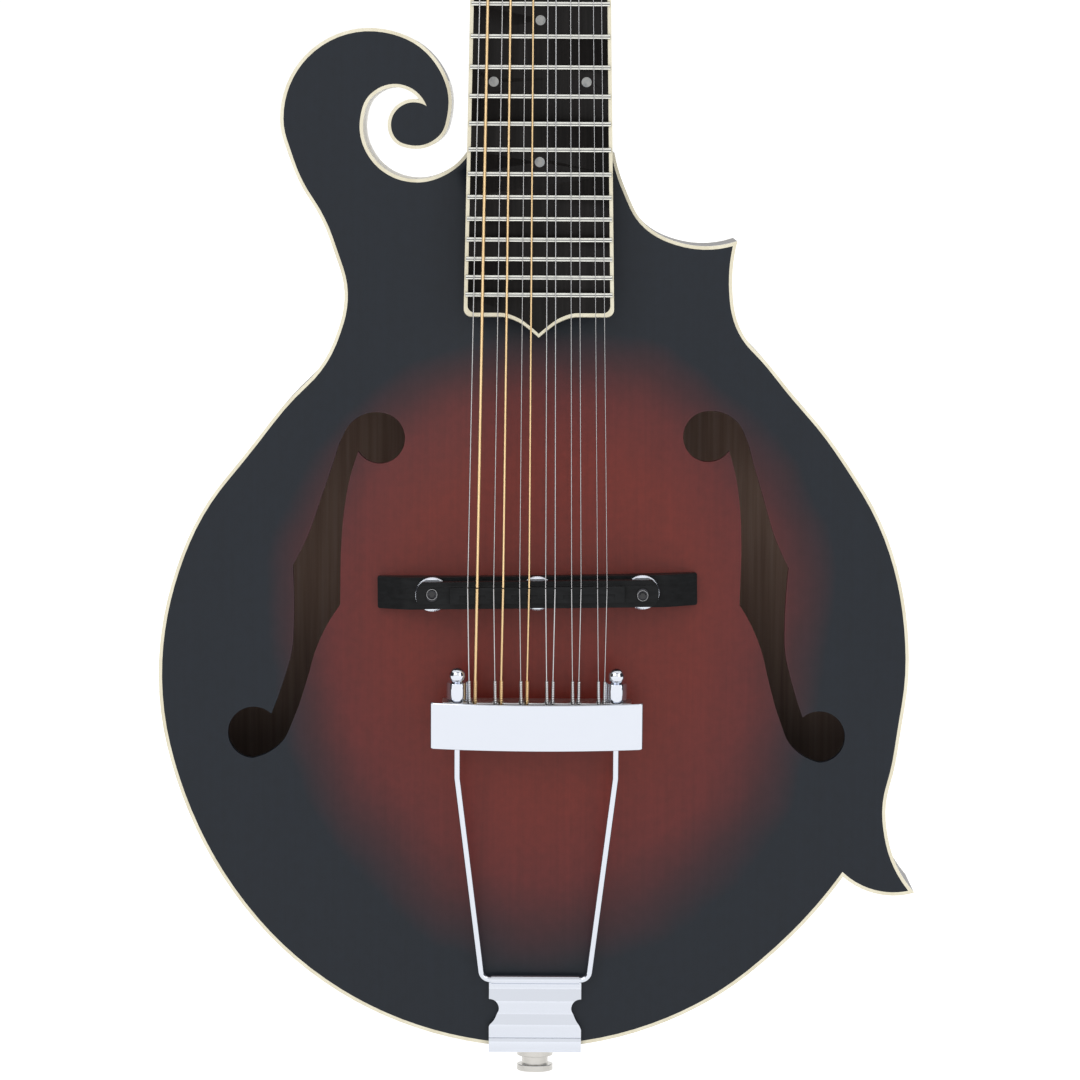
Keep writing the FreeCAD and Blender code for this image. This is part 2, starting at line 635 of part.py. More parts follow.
def frets():
    """Each fret: a rounded crown over a tang that fills its slot."""
    wires = []
    for number in range(1, FRET_COUNT + 1):
        z = fret_distance(number)
        half = board_half_width(z) - FRET_END_GAP
        low = Vector(-half, 0, z - FRET_WIDTH / 2)
        high = Vector(-half, 0, z + FRET_WIDTH / 2)
        bow = Part.Arc(low, Vector(-half, -FRET_HEIGHT, z), high).toShape()
        crown = Part.Face(Part.Wire([bow, Part.LineSegment(high, low).toShape()]))
        tang_half = board_half_width(z) - BOARD_BINDING
        thickness, depth = FRET_TANG
        tang = box((-tang_half, tang_half), (0, depth), (z - thickness / 2, z + thickness / 2))
        wires.append(in_neck(crown.extrude(Vector(2 * half, 0, 0)).fuse(tang).removeSplitter()))
    return Part.makeCompound(wires)


def shaft_section(z, half_width, depth):
    """A neck section: flat under the board, round behind."""
    points = []
    for a in range(0, 181, 20):
        across, down = math.cos(math.radians(a)), math.sin(math.radians(a))
        points.append(Vector(half_width * across, BOARD_THICKNESS + depth * down ** 0.8, z))
    back = Part.BSplineCurve()
    back.interpolate(points)
    return Part.Wire([back.toShape(), Part.LineSegment(points[-1], points[0]).toShape()])


def heel_section(height, half_width, reach):
    """A heel section seen from behind, at a distance behind the ribs' front edge."""
    points = []
    for a in range(0, 181, 20):
        across, out = math.cos(math.radians(a)), math.sin(math.radians(a))
        points.append(Vector(half_width * across, height, NECK_JOINT_Z + reach * out ** 0.7))
    curve = Part.BSplineCurve()
    curve.interpolate(points)
    return Part.Wire([curve.toShape(), Part.LineSegment(points[-1], points[0]).toShape()])


def heel_tenon():
    """The tapered tenon that locks the heel in the neck block."""
    half, front, behind, length = TENON
    return box((-half, half), (front, RIB_DEPTH - behind), (NECK_JOINT_Z - length, NECK_JOINT_Z + 1))


def head_outline(margin=0.0):
    """The headstock's face in the head frame: tapered throat, near-straight sides, arched crown."""
    throat = NUT_WIDTH / 2 - margin
    side = HEAD_HALF_WIDTH - margin
    top = HEAD_LENGTH - margin
    right = smooth_run([(throat, 0), (throat + 1.5, 6), (side - 2.5, 18), (side, 28)],
                       first=(0, 1), last=(0, 1))
    crown = smooth_run([(side - 2, top - 18), (side * 0.55, top - 5), (0, top), (-side * 0.55, top - 5),
                        (-side + 2, top - 18)])
    left = smooth_run([(-side, 28), (-side + 2.5, 18), (-throat - 1.5, 6), (-throat, 0)],
                      first=(0, -1), last=(0, -1))
    edges = right + [straight((side, 28), (side - 2, top - 18))] + crown
    edges += [straight((-side + 2, top - 18), (-side, 28))] + left
    edges += [straight((-throat, 0), (throat, 0))]
    return Part.Face(wire_of(edges))


def tuner_places():
    """Each tuner: its number, its side and its distance up the headstock; bass side first."""
    places = []
    for side in (-1, 1):
        for i in range(TUNERS_A_SIDE):
            places.append((len(places) + 1, side, TUNER_FIRST + TUNER_PITCH * i))
    return places


def bushing_holes(radius, y_low, y_high):
    return [rod(Vector(side * POST_X, y_low, z), Vector(side * POST_X, y_high, z), radius)
            for _, side, z in tuner_places()]


TRUSS_DEPTH = BOARD_THICKNESS + TRUSS_RADIUS + TRUSS_UNDER_BOARD


def truss_path(past_nut):
    """The rod's channel, from its start to a distance past the nut's line."""
    start, end = Vector(0, TRUSS_DEPTH, TRUSS_START), Vector(0, TRUSS_DEPTH, SCALE_LENGTH + past_nut)
    return in_neck(rod(start, end, TRUSS_RADIUS))


def truss_rod():
    """A steel rod under the board with a long hexagon nut in the headstock's pocket."""
    end = Vector(0, TRUSS_DEPTH, SCALE_LENGTH + TRUSS_PAST_NUT)
    hexagon = in_neck(hexagon_prism(end, Vector(0, 0, 1), *TRUSS_NUT))
    return truss_path(TRUSS_PAST_NUT).fuse(hexagon)


def board_support():
    """The neck's wood that carries the fretboard over the top, clear of the top at its far end."""
    face = board_outline(0.0)
    slab = in_neck(prism(face, BOARD_THICKNESS, BOARD_THICKNESS + 4.5))
    slab = slab.common(box((-24, 24), (-60, 40), (SADDLE_Z + BOARD_END + 6, NECK_JOINT_Z + 2)))
    riser = box((-20, 20), (-15, 0), (NECK_JOINT_Z - 26, NECK_JOINT_Z + 1)).cut(TOP_OUTER)
    below_board = in_neck(box((-60, 60), (BOARD_THICKNESS, 60), (0, SCALE_LENGTH)))
    return slab.fuse(riser.common(below_board))


def neck():
    joint = NECK_JOINT_Z - SADDLE_Z - 4
    middle = (NECK_WOOD_HEEL + NECK_WOOD) / 2
    shares = ((0.0, NECK_WOOD_HEEL + 1.5), (0.2, NECK_WOOD_HEEL), (0.5, middle + 0.3),
              (0.8, NECK_WOOD + 0.5), (1.0, NECK_WOOD))
    stations = [(joint + share * (SCALE_LENGTH - 4 - joint), depth) for share, depth in shares]
    stations.append((SCALE_LENGTH + NUT_THICKNESS + 10, NECK_WOOD + 1))
    sections = [shaft_section(z, board_half_width(min(z, SCALE_LENGTH)), depth) for z, depth in stations]
    shaft = in_neck(Part.makeLoft(sections, True, False))
    shaft = shaft.common(box((-40, 40), (-60, 90), (NECK_JOINT_Z, 800)))
    below_board = in_neck(box((-60, 60), (BOARD_THICKNESS, 160), (0, SCALE_LENGTH + NUT_THICKNESS)))
    sections = [heel_section(*section) for section in HEEL_SECTIONS + ((RIB_DEPTH,) + HEEL_END,)]
    heel = Part.makeLoft(sections, True, False).common(below_board)
    head = in_head(prism(head_outline(), 0, HEAD_THICKNESS))
    stations = ((SCALE_LENGTH - 20, NECK_WOOD), (SCALE_LENGTH + 4, NECK_WOOD + 1.5),
                (SCALE_LENGTH + 20, NECK_WOOD - 3.0))
    sections = [shaft_section(z, board_half_width(SCALE_LENGTH), depth) for z, depth in stations]
    volute = in_neck(Part.makeLoft(sections, True, False))
    volute = volute.cut(in_head(box((-60, 60), (-40, 0), (-60, 60))))
    volute = volute.common(in_neck(box((-60, 60), (BOARD_THICKNESS, 90), (300, 420))))
    whole = head.fuse([shaft.common(below_board), heel, volute, board_support(), heel_tenon()])
    half, length, depth = NUT_POCKET
    pocket = in_head(box((-half, half), (-1, depth), (-3, length)))
    cuts = [in_head(c) for c in bushing_holes(POST_RADIUS + BUSHING_WALL, -1, BUSHING_DEPTH)]
    cuts += [in_head(c) for c in bushing_holes(POST_RADIUS + 0.4, BUSHING_DEPTH - 1, HEAD_THICKNESS + 1)]
    cuts += [truss_path(20), pocket]
    return whole.cut(Part.makeCompound(cuts)).removeSplitter()


def heel_cap():
    wire = heel_section(RIB_DEPTH, *HEEL_END)
    return Part.Face(wire).extrude(Vector(0, HEEL_CAP, 0))


def nut():
    half = NUT_WIDTH / 2
    crest = -STRING_OVER_NUT - NUT_OVER_STRINGS
    block = box((-half, half), (crest, BOARD_THICKNESS), (SCALE_LENGTH, SCALE_LENGTH + NUT_THICKNESS))
    slope = box((-half - 1, half + 1), (-6, 0), (0, 20))
    slope.Placement = Placement(Vector(0, crest, SCALE_LENGTH + 1.5), Rotation(Vector(1, 0, 0), -HEAD_ANGLE))
    return in_neck(block.cut(slope).cut(string_slots()))


def string_slots():
    """Grooves in the nut, one for each string: level, then falling towards the headstock."""
    grooves = []
    level = (0, (-NUT_BEARING - 1, 0.1), 0.1)
    falling = (-HEAD_ANGLE, (0, NUT_THICKNESS + 1), NUT_FLARE)
    for i, diameter in enumerate(STRING_DIAMETERS):
        x = string_x(i, COURSE_AT_NUT, PAIR_AT_NUT)
        floor = diameter / 2 + CONTACT_GAP
        for angle, reach, flare in (level, falling):
            half = diameter / 2 + flare
            groove = box((x - half, x + half), (-6, floor), reach)
            groove.Placement = Placement(Vector(0, -STRING_OVER_NUT, SCALE_LENGTH + NUT_BEARING),
                                         Rotation(Vector(1, 0, 0), angle))
            grooves.append(groove)
    return Part.makeCompound(grooves)


def veneer_foot(low, y_low, y_high):
    """The strip along the nut, between the two ends of the headstock's binding."""
    half = NUT_WIDTH / 2 - HEAD_BINDING
    return box((-half, half), (y_low, y_high), (low, HEAD_BINDING + 1))


def headstock_veneer():
    face = prism(head_outline(HEAD_BINDING), -VENEER, 0)
    plate = face.fuse(veneer_foot(0, -VENEER, 0)).removeSplitter()
    cuts = bushing_holes(POST_RADIUS + BUSHING_WALL, -VENEER - 1, 1)
    cuts.append(box((-NUT_POCKET[0], NUT_POCKET[0]), (-VENEER - 1, 1), (3.0, NUT_POCKET[1])))
    return in_head(plate.cut(Part.makeCompound(cuts)))


def head_binding():
    ring = prism(head_outline(), -VENEER, 0).cut(prism(head_outline(HEAD_BINDING), -VENEER, 0))
    return in_head(ring.cut(veneer_foot(-1, -VENEER - 1, 1)))


def neck_binding():
    return Part.makeCompound(board_binding().Solids + head_binding().Solids)


COVER_SCREWS = ((0, 30.5), (-7.0, 6.0), (7.0, 6.0))
COVER_FACE = -VENEER - 1.6
SCREW_RADIUS = 0.8


def truss_rod_cover():
    """A bell-shaped cover over the nut's pocket."""
    edges = smooth_run([(9.5, 2.6), (8.5, 12), (4.5, 22), (3.2, 30), (0, 34)], last=(-1, 0))
    edges += smooth_run([(0, 34), (-3.2, 30), (-4.5, 22), (-8.5, 12), (-9.5, 2.6)], first=(-1, 0))
    edges.append(straight((-9.5, 2.6), (9.5, 2.6)))
    plate = prism(Part.Face(wire_of(edges)), COVER_FACE, -VENEER)
    holes = [rod(Vector(x, COVER_FACE - 1, z), Vector(x, 1, z), SCREW_RADIUS) for x, z in COVER_SCREWS]
    return in_head(plate.cut(Part.makeCompound(holes)))


def cover_screws():
    screws = []
    for x, z in COVER_SCREWS:
        head = Part.makeCone(1.7, 1.1, 0.9, Vector(x, COVER_FACE, z), Vector(0, -1, 0))
        shank = rod(Vector(x, COVER_FACE, z), Vector(x, -VENEER, z), SCREW_RADIUS)
        screws.append(in_head(head.fuse(shank)))
    return Part.makeCompound(screws)


# ---- The tuners --------------------------------------------------------------------------------
HOUSING_FACE = HEAD_THICKNESS
WORM_OFFSET = GEAR_RADIUS + WORM_RADIUS + WORM_GAP
WORM_DEPTH = HOUSING_FACE + WORM_MIDDLE
HOUSING_X = (POST_X - 7.0, POST_X + 8.5)


def sided(shape, side):
    return shape if side > 0 else shape.mirror(Vector(0, 0, 0), Vector(1, 0, 0))


def across(x_from, x_to, depth, z, radius):
    """A rod across the headstock."""
    return rod(Vector(x_from, depth, z), Vector(x_to, depth, z), radius)


def along_post(y_from, y_to, z, radius):
    """A rod on a post's axis."""
    return rod(Vector(POST_X, y_from, z), Vector(POST_X, y_to, z), radius)


def tuner_housing(z):
    """A sealed housing on the headstock's back for a treble-side tuner at z."""
    x_low, x_high = HOUSING_X
    worm_z = z + WORM_OFFSET
    shell = box((x_low, x_high), (HOUSING_FACE, HOUSING_FACE + HOUSING_DEPTH),
                (z - HOUSING_ENDS[0], worm_z + HOUSING_ENDS[1]))
    edges = [e for e in shell.Edges if abs(e.CenterOfMass.y - HOUSING_FACE - HOUSING_DEPTH) < 0.01]
    shell = shell.makeFillet(HOUSING_EASE, edges)
    gear_end = HOUSING_FACE + GEAR_START + GEAR_THICKNESS + 1
    gear_room = along_post(HOUSING_FACE - 1, gear_end, z, GEAR_RADIUS + PIECE_GAP)
    worm_room = across(x_low + HOUSING_WALLS[0], x_high - HOUSING_WALLS[1], WORM_DEPTH, worm_z,
                       WORM_RADIUS + PIECE_GAP)
    shaft_hole = across(x_high - 3, x_high + 3, WORM_DEPTH, worm_z, SHAFT_RADIUS + RUNNING_GAP)
    collar = across(x_high, x_high + COLLAR[1], WORM_DEPTH, worm_z, COLLAR[0])
    return shell.fuse(collar).cut(Part.makeCompound([gear_room, worm_room])).cut(shaft_hole)


def tuner_bushing(z):
    """A threaded bushing through the face with its hexagon nut and washer."""
    face = -VENEER
    tube = along_post(face, BUSHING_DEPTH, z, POST_RADIUS + BUSHING_WALL)
    washer = along_post(face, face - WASHER[1], z, WASHER[0])
    hexagon = hexagon_prism(Vector(POST_X, face - WASHER[1], z), Vector(0, -1, 0), *BUSHING_NUT)
    bore = along_post(face - 5, BUSHING_DEPTH + 1, z, POST_RADIUS + RUNNING_GAP)
    return tube.fuse([washer, hexagon]).cut(bore)


def tuner_housings():
    solids = []
    for _, side, z in tuner_places():
        for piece in (tuner_housing(z), tuner_bushing(z)):
            solids += in_head(sided(piece, side)).Solids
    return Part.makeCompound(solids)


def tuner_post(side, z):
    """A string post with its gear inside the housing."""
    top = -VENEER - POST_TOP
    gear_face = HOUSING_FACE + GEAR_START
    post = along_post(top, gear_face, z, POST_RADIUS)
    groove = along_post(top + POST_WAIST[0], top + POST_WAIST[1], z, POST_RADIUS + 1)
    waist = along_post(top + POST_WAIST[0], top + POST_WAIST[1], z, POST_RADIUS - 0.5)
    gear = along_post(gear_face, gear_face + GEAR_THICKNESS, z, GEAR_RADIUS)
    hole = across(POST_X - 9, POST_X + 9, top + POST_HOLE[0], z, POST_HOLE[1])
    shape = post.cut(groove.cut(waist)).cut(hole).fuse(gear)
    return in_head(sided(shape, side))


def knob(x0, worm_z):
    """The knob's flat kidney outline, eased all round."""
    x1 = x0 + KNOB_LENGTH
    half = KNOB_WIDTH / 2
    edges = smooth_run([(x0, worm_z - 3), (x0 + 4, worm_z - half + 0.6), (x1 - 5, worm_z - half + 0.2),
                        (x1, worm_z)])
    edges += smooth_run([(x1, worm_z), (x1 - 5, worm_z + half - 0.2), (x0 + 4, worm_z + half - 0.6),
                         (x0, worm_z + 3)])
    edges.append(straight((x0, worm_z + 3), (x0, worm_z - 3)))
    thick = KNOB_THICKNESS / 2
    solid = prism(Part.Face(wire_of(edges)), WORM_DEPTH - thick, WORM_DEPTH + thick)
    rims = [e for e in solid.Edges if abs(abs(e.CenterOfMass.y - WORM_DEPTH) - thick) < 0.01]
    return solid.makeFillet(KNOB_EASE, rims)


def tuner_button(side, z):
    """A worm shaft with its knob, and the screw that holds the knob."""
    worm_z = z + WORM_OFFSET
    start = HOUSING_X[0] + HOUSING_WALLS[0] + PIECE_GAP
    x_out = HOUSING_X[1] + COLLAR[1] + PIECE_GAP
    x_knob = x_out + KNOB_FERRULE[1]
    x_end = x_knob + KNOB_LENGTH
    worm = across(start, HOUSING_X[1] - HOUSING_WALLS[1] - PIECE_GAP, WORM_DEPTH, worm_z, WORM_RADIUS)
    shaft = across(start, x_out + 6, WORM_DEPTH, worm_z, SHAFT_RADIUS)
    ferrule = across(x_out, x_knob, WORM_DEPTH, worm_z, KNOB_FERRULE[0])
    screw = across(x_end - 1.5, x_end + KNOB_SCREW[1], WORM_DEPTH, worm_z, KNOB_SCREW[0])
    shape = worm.fuse([shaft, ferrule, knob(x_knob, worm_z), screw]).removeSplitter()
    return in_head(sided(shape, side))


# ---- The bridge --------------------------------------------------------------------------------
BRIDGE_CENTRE_Z = SADDLE_Z - 2.8
WHEEL_BASE = FOOT_TOP + WHEEL_GAP
SADDLE_BASE = WHEEL_BASE + WHEEL_THICKNESS
STRING_HEIGHT = BOARD_AT_SADDLE + STRING_OVER_SADDLE
SADDLE_TOP = STRING_HEIGHT - 0.3
TAIL_ANGLE = math.degrees(math.atan2(STRING_HEIGHT - HINGE_HEIGHT, SADDLE_Z - HINGE_Z))
POST_XS = (-POST_SPREAD, 0.0, POST_SPREAD)


def turned(shape):
    """A piece of the bridge set at the bridge's slight turn about the top's normal."""
    frame = Placement(Vector(0, 0, BRIDGE_CENTRE_Z), Rotation(Vector(0, 1, 0), -BRIDGE_TURN))
    return placed(shape, frame)


def bridge_post_holes(radius, low, high):
    return [rod(Vector(x, -low, 0), Vector(x, -high, 0), radius) for x in POST_XS]


def bridge_base():
    """The foot: its underside fits the arched top, its ends are thinned and rounded."""
    half = BRIDGE_HALF_LENGTH
    past, along, down = FOOT_SHOULDER
    flat = POST_SPREAD + past
    tip = FOOT_TOP - FOOT_TIP_DROP
    side = [(-half, 0), (-half, tip), (-flat - along, FOOT_TOP - down), (-flat, FOOT_TOP), (flat, FOOT_TOP),
            (flat + along, FOOT_TOP - down), (half, tip), (half, 0)]
    corners = [Vector(x, -h, -BRIDGE_WIDTH / 2) for x, h in side]
    blank = Part.Face(Part.makePolygon(corners + corners[:1])).extrude(Vector(0, 0, BRIDGE_WIDTH))
    ends = [e for e in blank.Edges if abs(abs(e.CenterOfMass.x) - half) < 0.01]
    upright = [e for e in ends if abs(e.CenterOfMass.z) > 1]
    blank = blank.makeFillet(FOOT_EASE, upright)
    holes = Part.makeCompound(bridge_post_holes(BRIDGE_POST_RADIUS, FOOT_TOP - POST_SET, 40))
    return turned(blank.cut(holes)).cut(TOP_OUTER)


def bridge_saddle():
    """The saddle: its ends are rounded about the outer posts, and its crest is raised and notched."""
    half = SADDLE_HALF_LENGTH
    wide = SADDLE_WIDTH / 2
    turn = POST_SPREAD + math.sqrt((half - POST_SPREAD) ** 2 - wide ** 2)
    plan = [straight((-turn, -wide), (turn, -wide)),
            Part.Arc(Vector(turn, 0, -wide), Vector(half, 0, 0), Vector(turn, 0, wide)).toShape(),
            straight((turn, wide), (-turn, wide)),
            Part.Arc(Vector(-turn, 0, wide), Vector(-half, 0, 0), Vector(-turn, 0, -wide)).toShape()]
    top = SADDLE_TOP
    body = prism(Part.Face(wire_of(plan)), -top, -SADDLE_BASE)
    beside, beyond = CREST_DROP
    for sign in (-1, 1):
        across_crest = tuple(sorted((sign * 9, sign * CREST_WIDTH)))
        past_crest = tuple(sorted((sign * CREST_HALF_LENGTH, sign * (half + 1))))
        body = body.cut(box((-half - 1, half + 1), (-top - 1, -top + beside), across_crest))
        body = body.cut(box(past_crest, (-top - 1, -top + beyond), (-9, 9)))
    crest_z = SADDLE_Z - BRIDGE_CENTRE_Z
    for angle, reach in ((TAIL_ANGLE + 4, (-20, 0)), (-NECK_ANGLE - 3, (0, 20))):
        slope = box((-half - 1, half + 1), (-9, 0), reach)
        slope.Placement = Placement(Vector(0, -top, crest_z), Rotation(Vector(1, 0, 0), angle))
        body = body.cut(slope)
    for i in range(COURSES):
        x = (i - (COURSES - 1) / 2) * COURSE_AT_SADDLE
        step = CREST_STEP if i in CREST_STEPS else 0.0
        across_course = (x - COURSE_AT_SADDLE / 2, x + COURSE_AT_SADDLE / 2)
        behind = (-9, crest_z - CREST_EDGE - step)
        body = body.cut(box(across_course, (-top - 1, -top + CREST_DEPTH), behind))
    radius = BRIDGE_POST_RADIUS + RUNNING_GAP
    holes = bridge_post_holes(radius, 0, SADDLE_BASE + MIDDLE_POST_ROOM)
    holes += [rod(Vector(x, 0, 0), Vector(x, -60, 0), radius) for x in (POST_XS[0], POST_XS[2])]
    return turned(body.cut(Part.makeCompound(holes)))


def bridge_posts():
    """Three posts set in the foot; the outer two show at the saddle's ends."""
    posts = []
    for i, x in enumerate(POST_XS):
        hidden = i == 1
        under_saddle = SADDLE_BASE + MIDDLE_POST_ROOM - SADDLE_TRAVEL - PIECE_GAP
        top = under_saddle if hidden else STRING_HEIGHT - POST_UNDER_STRINGS
        post = rod(Vector(x, -FOOT_TOP + POST_SET, 0), Vector(x, -top, 0), BRIDGE_POST_RADIUS)
        if not hidden:
            post = post.cut(hexagon_prism(Vector(x, -top, 0), Vector(0, 1, 0), *POST_SOCKET))
        posts.append(turned(post))
    return Part.makeCompound(posts)


def thumbwheel(index):
    """A disc threaded on its post between the foot and the saddle."""
    x = POST_XS[index]
    wheel = rod(Vector(x, -WHEEL_BASE, 0), Vector(x, -SADDLE_BASE, 0), WHEEL_RADIUS)
    wheel = wheel.makeChamfer(WHEEL_EASE, [e for e in wheel.Edges if len(e.Vertexes) == 1])
    return turned(wheel.cut(rod(Vector(x, 0, 0), Vector(x, -60, 0), BRIDGE_POST_RADIUS + RUNNING_GAP)))


# ---- The tailpiece -----------------------------------------------------------------------------
HINGE = Vector(0, -HINGE_HEIGHT, HINGE_Z)
# The tail frame lies along the strings' pull from the hinge: z towards the saddle, y into the body.
TAIL_FRAME = Placement(HINGE, Rotation(Vector(1, 0, 0), TAIL_ANGLE))


def in_tail(shape):
    return placed(shape, TAIL_FRAME)


def tail_z(z):
    """Distance along the tail frame of a height z above the tail."""
    return (z - HINGE_Z) / math.cos(math.radians(TAIL_ANGLE))


def trapeze_rods():
    """One bent wire: across through the hinge, up both sides and through the string bar."""
    end = tail_z(STRING_BAR_Z[1]) + WIRE_PAST_BAR
    bend = tail_z(ROD_BEND_Z)
    slant = unit(ROD_HALF_AT_BAR - ROD_HALF_AT_HINGE, bend)
    half_turn = math.acos(-slant[0]) / 2
    reach = ROD_BEND_RADIUS / math.tan(half_turn)
    inner_x = ROD_HALF_AT_HINGE - reach
    across = unit(slant[0] - 1, slant[1])
    depth = ROD_BEND_RADIUS / math.sin(half_turn) - ROD_BEND_RADIUS
    pieces = [rod(Vector(-inner_x, 0, 0), Vector(inner_x, 0, 0), ROD_RADIUS)]
    for side in (-1, 1):
        inner = Vector(side * inner_x, 0, 0)
        middle = Vector(side * (ROD_HALF_AT_HINGE + across[0] * depth), 0, across[1] * depth)
        low = Vector(side * (ROD_HALF_AT_HINGE + slant[0] * reach), 0, slant[1] * reach)
        high = Vector(side * ROD_HALF_AT_BAR, 0, bend)
        wire = Part.Wire([Part.Arc(inner, middle, low).toShape()])
        profile = Part.Wire(Part.makeCircle(ROD_RADIUS, inner, Vector(1, 0, 0)))
        pieces.append(wire.makePipeShell([profile], True, False))
        pieces.append(rod(low, high, ROD_RADIUS))
        pieces.append(Part.makeSphere(ROD_RADIUS, high))
        pieces.append(rod(high, Vector(side * ROD_HALF_AT_BAR, 0, end), ROD_RADIUS))
    return in_tail(pieces[0].fuse(pieces[1:]).removeSplitter())


def bar_rod_cut(radius):
    return [rod(Vector(side * ROD_HALF_AT_BAR, 0, tail_z(STRING_BAR_Z[0]) - 6),
                Vector(side * ROD_HALF_AT_BAR, 0, tail_z(STRING_BAR_Z[1]) + 14), radius) for side in (-1, 1)]


def string_bar():
    """The bar that the strings hook to, with a slot and a pin for each string."""
    low, high = tail_z(STRING_BAR_Z[0]), tail_z(STRING_BAR_Z[1])
    bar = box((-BAR_HALF_LENGTH, BAR_HALF_LENGTH), (-BAR_HALF_HEIGHT, BAR_HALF_HEIGHT), (low, high))
    cuts = bar_rod_cut(ROD_RADIUS)
    half, left = BAR_SLOT
    for i in range(2 * COURSES):
        x = string_x(i, COURSE_AT_SADDLE, PAIR_AT_BAR)
        cuts.append(box((x - half, x + half), (-BAR_HALF_HEIGHT - 1, 1.2), (low + left, high + 1)))
    return in_tail(bar.cut(Part.makeCompound(cuts)))


def tailpiece_cover():
    """An arched sheet over the bar, its ends turned down."""
    half = COVER_HALF_LENGTH
    outer = BAR_HALF_HEIGHT + COVER_WALL

    def profile(offset):
        crown = -(outer + COVER_SAG) + offset
        edge = -outer + offset
        side = half - offset
        turn = side - COVER_BEND
        arc = Part.Arc(Vector(-turn, edge, 0), Vector(0, crown, 0), Vector(turn, edge, 0)).toShape()
        return arc, Vector(-side, edge + COVER_LIP, 0), Vector(side, edge + COVER_LIP, 0)

    top, left, right = profile(0.0)
    under, left_in, right_in = profile(COVER_WALL)
    left_in.y, right_in.y = left.y, right.y
    ends = [top.Vertexes[0].Point, top.Vertexes[1].Point]
    ends_in = [under.Vertexes[0].Point, under.Vertexes[1].Point]
    lines = [(ends[0], left), (left, left_in), (left_in, ends_in[0]),
             (ends[1], right), (right, right_in), (right_in, ends_in[1])]
    wire = wire_of([top, under] + [Part.LineSegment(a, b).toShape() for a, b in lines])
    sheet = Part.Face(wire).extrude(Vector(0, 0, tail_z(COVER_Z[1]) - tail_z(COVER_Z[0])))
    sheet.translate(Vector(0, 0, tail_z(COVER_Z[0])))
    return in_tail(sheet)


def acorn_nuts():
    """Cap nuts that hold the bar on the wire's ends: a hexagon and a ball."""
    nuts = []
    start = tail_z(STRING_BAR_Z[1])
    depth = box((-50, 50), (-9, 9), (start - 5, start + WIRE_PAST_BAR))
    bore = Part.makeCompound(bar_rod_cut(ROD_RADIUS)).common(depth)
    for side in (-1, 1):
        base = Vector(side * ROD_HALF_AT_BAR, 0, start)
        hexagon = hexagon_prism(base, Vector(0, 0, 1), CAP_NUT_ACROSS, CAP_NUT_LENGTH)
        ball = Part.makeSphere(CAP_BALL[0], base + Vector(0, 0, CAP_BALL[1]))
        nuts.append(in_tail(hexagon.fuse(ball).cut(bore)))
    return Part.makeCompound(nuts)


def hanger_waist():
    """The hanger seen from the front: wide at the hinge, a round notch in each side, wide at the tail."""
    wide = HANGER_HALF_WIDTH
    notch = wide - HANGER_NOTCH
    flare = unit(0.25, -1.0)
    top, flare_end = HANGER_NOTCH_Z
    side = [(wide, top), (notch + 0.9, top - 1.1), (notch, top - 3.2), (notch + 1.1, top - 6.6), (wide, flare_end)]
    right = smooth_run(side, first=(-1, 0), last=flare)
    left = smooth_run([(-x, z) for x, z in reversed(side)], first=(-flare[0], -flare[1]), last=(-1, 0))
    edges = right + left + [straight((wide, flare_end), (wide, -6)), straight((wide, -6), (-wide, -6)),
                            straight((-wide, -6), (-wide, flare_end)), straight((-wide, top), (-wide, HINGE_Z + 4)),
                            straight((-wide, HINGE_Z + 4), (wide, HINGE_Z + 4)),
                            straight((wide, HINGE_Z + 4), (wide, top))]
    return prism(Part.Face(wire_of(edges)), -20, 60)


def hanger_profile(offset):
    """One face of the hanger's sheet seen from the side: waves, a round bend over the edge, a leaf."""
    lift = TOP_EDGE + PIECE_GAP + offset
    out = PIECE_GAP + offset
    radius = HANGER_BEND + offset
    turn_z = radius - out
    edge = lift + HANGER_EDGE_LIFT
    waves = [(-lift - HANGER_TOP_LIFT, HINGE_Z - 0.1)]
    waves += [(-lift - rise, z) for z, rise in HANGER_WAVES]
    waves.append((-edge, turn_z))
    path = Part.BSplineCurve()
    path.interpolate(Points=[Vector(0, y, z) for y, z in waves],
                     InitialTangent=Vector(0, 0, -1), FinalTangent=Vector(0, 0, -1))
    slant = radius * math.sin(math.radians(45))
    bend = Part.Arc(Vector(0, -edge, turn_z), Vector(0, -edge + radius - slant, turn_z - slant),
                    Vector(0, -edge + radius, -out))
    leaf = Part.LineSegment(Vector(0, -edge + radius, -out), Vector(0, JACK_Y + LEAF_PAST_JACK, -out))
    return [path.toShape(), bend.toShape(), leaf.toShape()]


def tailpiece_hanger():
    """A bent plate with shallow waves on the front, a rolled knuckle, and the end pin's hole."""
    inner, outer = hanger_profile(0.0), hanger_profile(HANGER_WALL)
    ends = [Part.LineSegment(inner[i].Vertexes[i].Point, outer[i].Vertexes[i].Point).toShape()
            for i in (0, -1)]
    face = Part.Face(wire_of(inner + outer + ends))
    sheet = face.extrude(Vector(2 * HANGER_HALF_WIDTH, 0, 0))
    sheet.translate(Vector(-HANGER_HALF_WIDTH, 0, 0))
    half, wall = KNUCKLE
    side = Vector(1, 0, 0)
    knuckle = rod(HINGE - side * half, HINGE + side * half, ROD_RADIUS + wall)
    shape = sheet.common(hanger_waist()).fuse(knuckle)
    pin_room = rod(HINGE - side * 40, HINGE + side * 40, ROD_RADIUS + RUNNING_GAP)
    hole = rod(Vector(0, JACK_Y, -8), Vector(0, JACK_Y, 6), JACK_RADIUS)
    return shape.cut(pin_room).cut(hole)


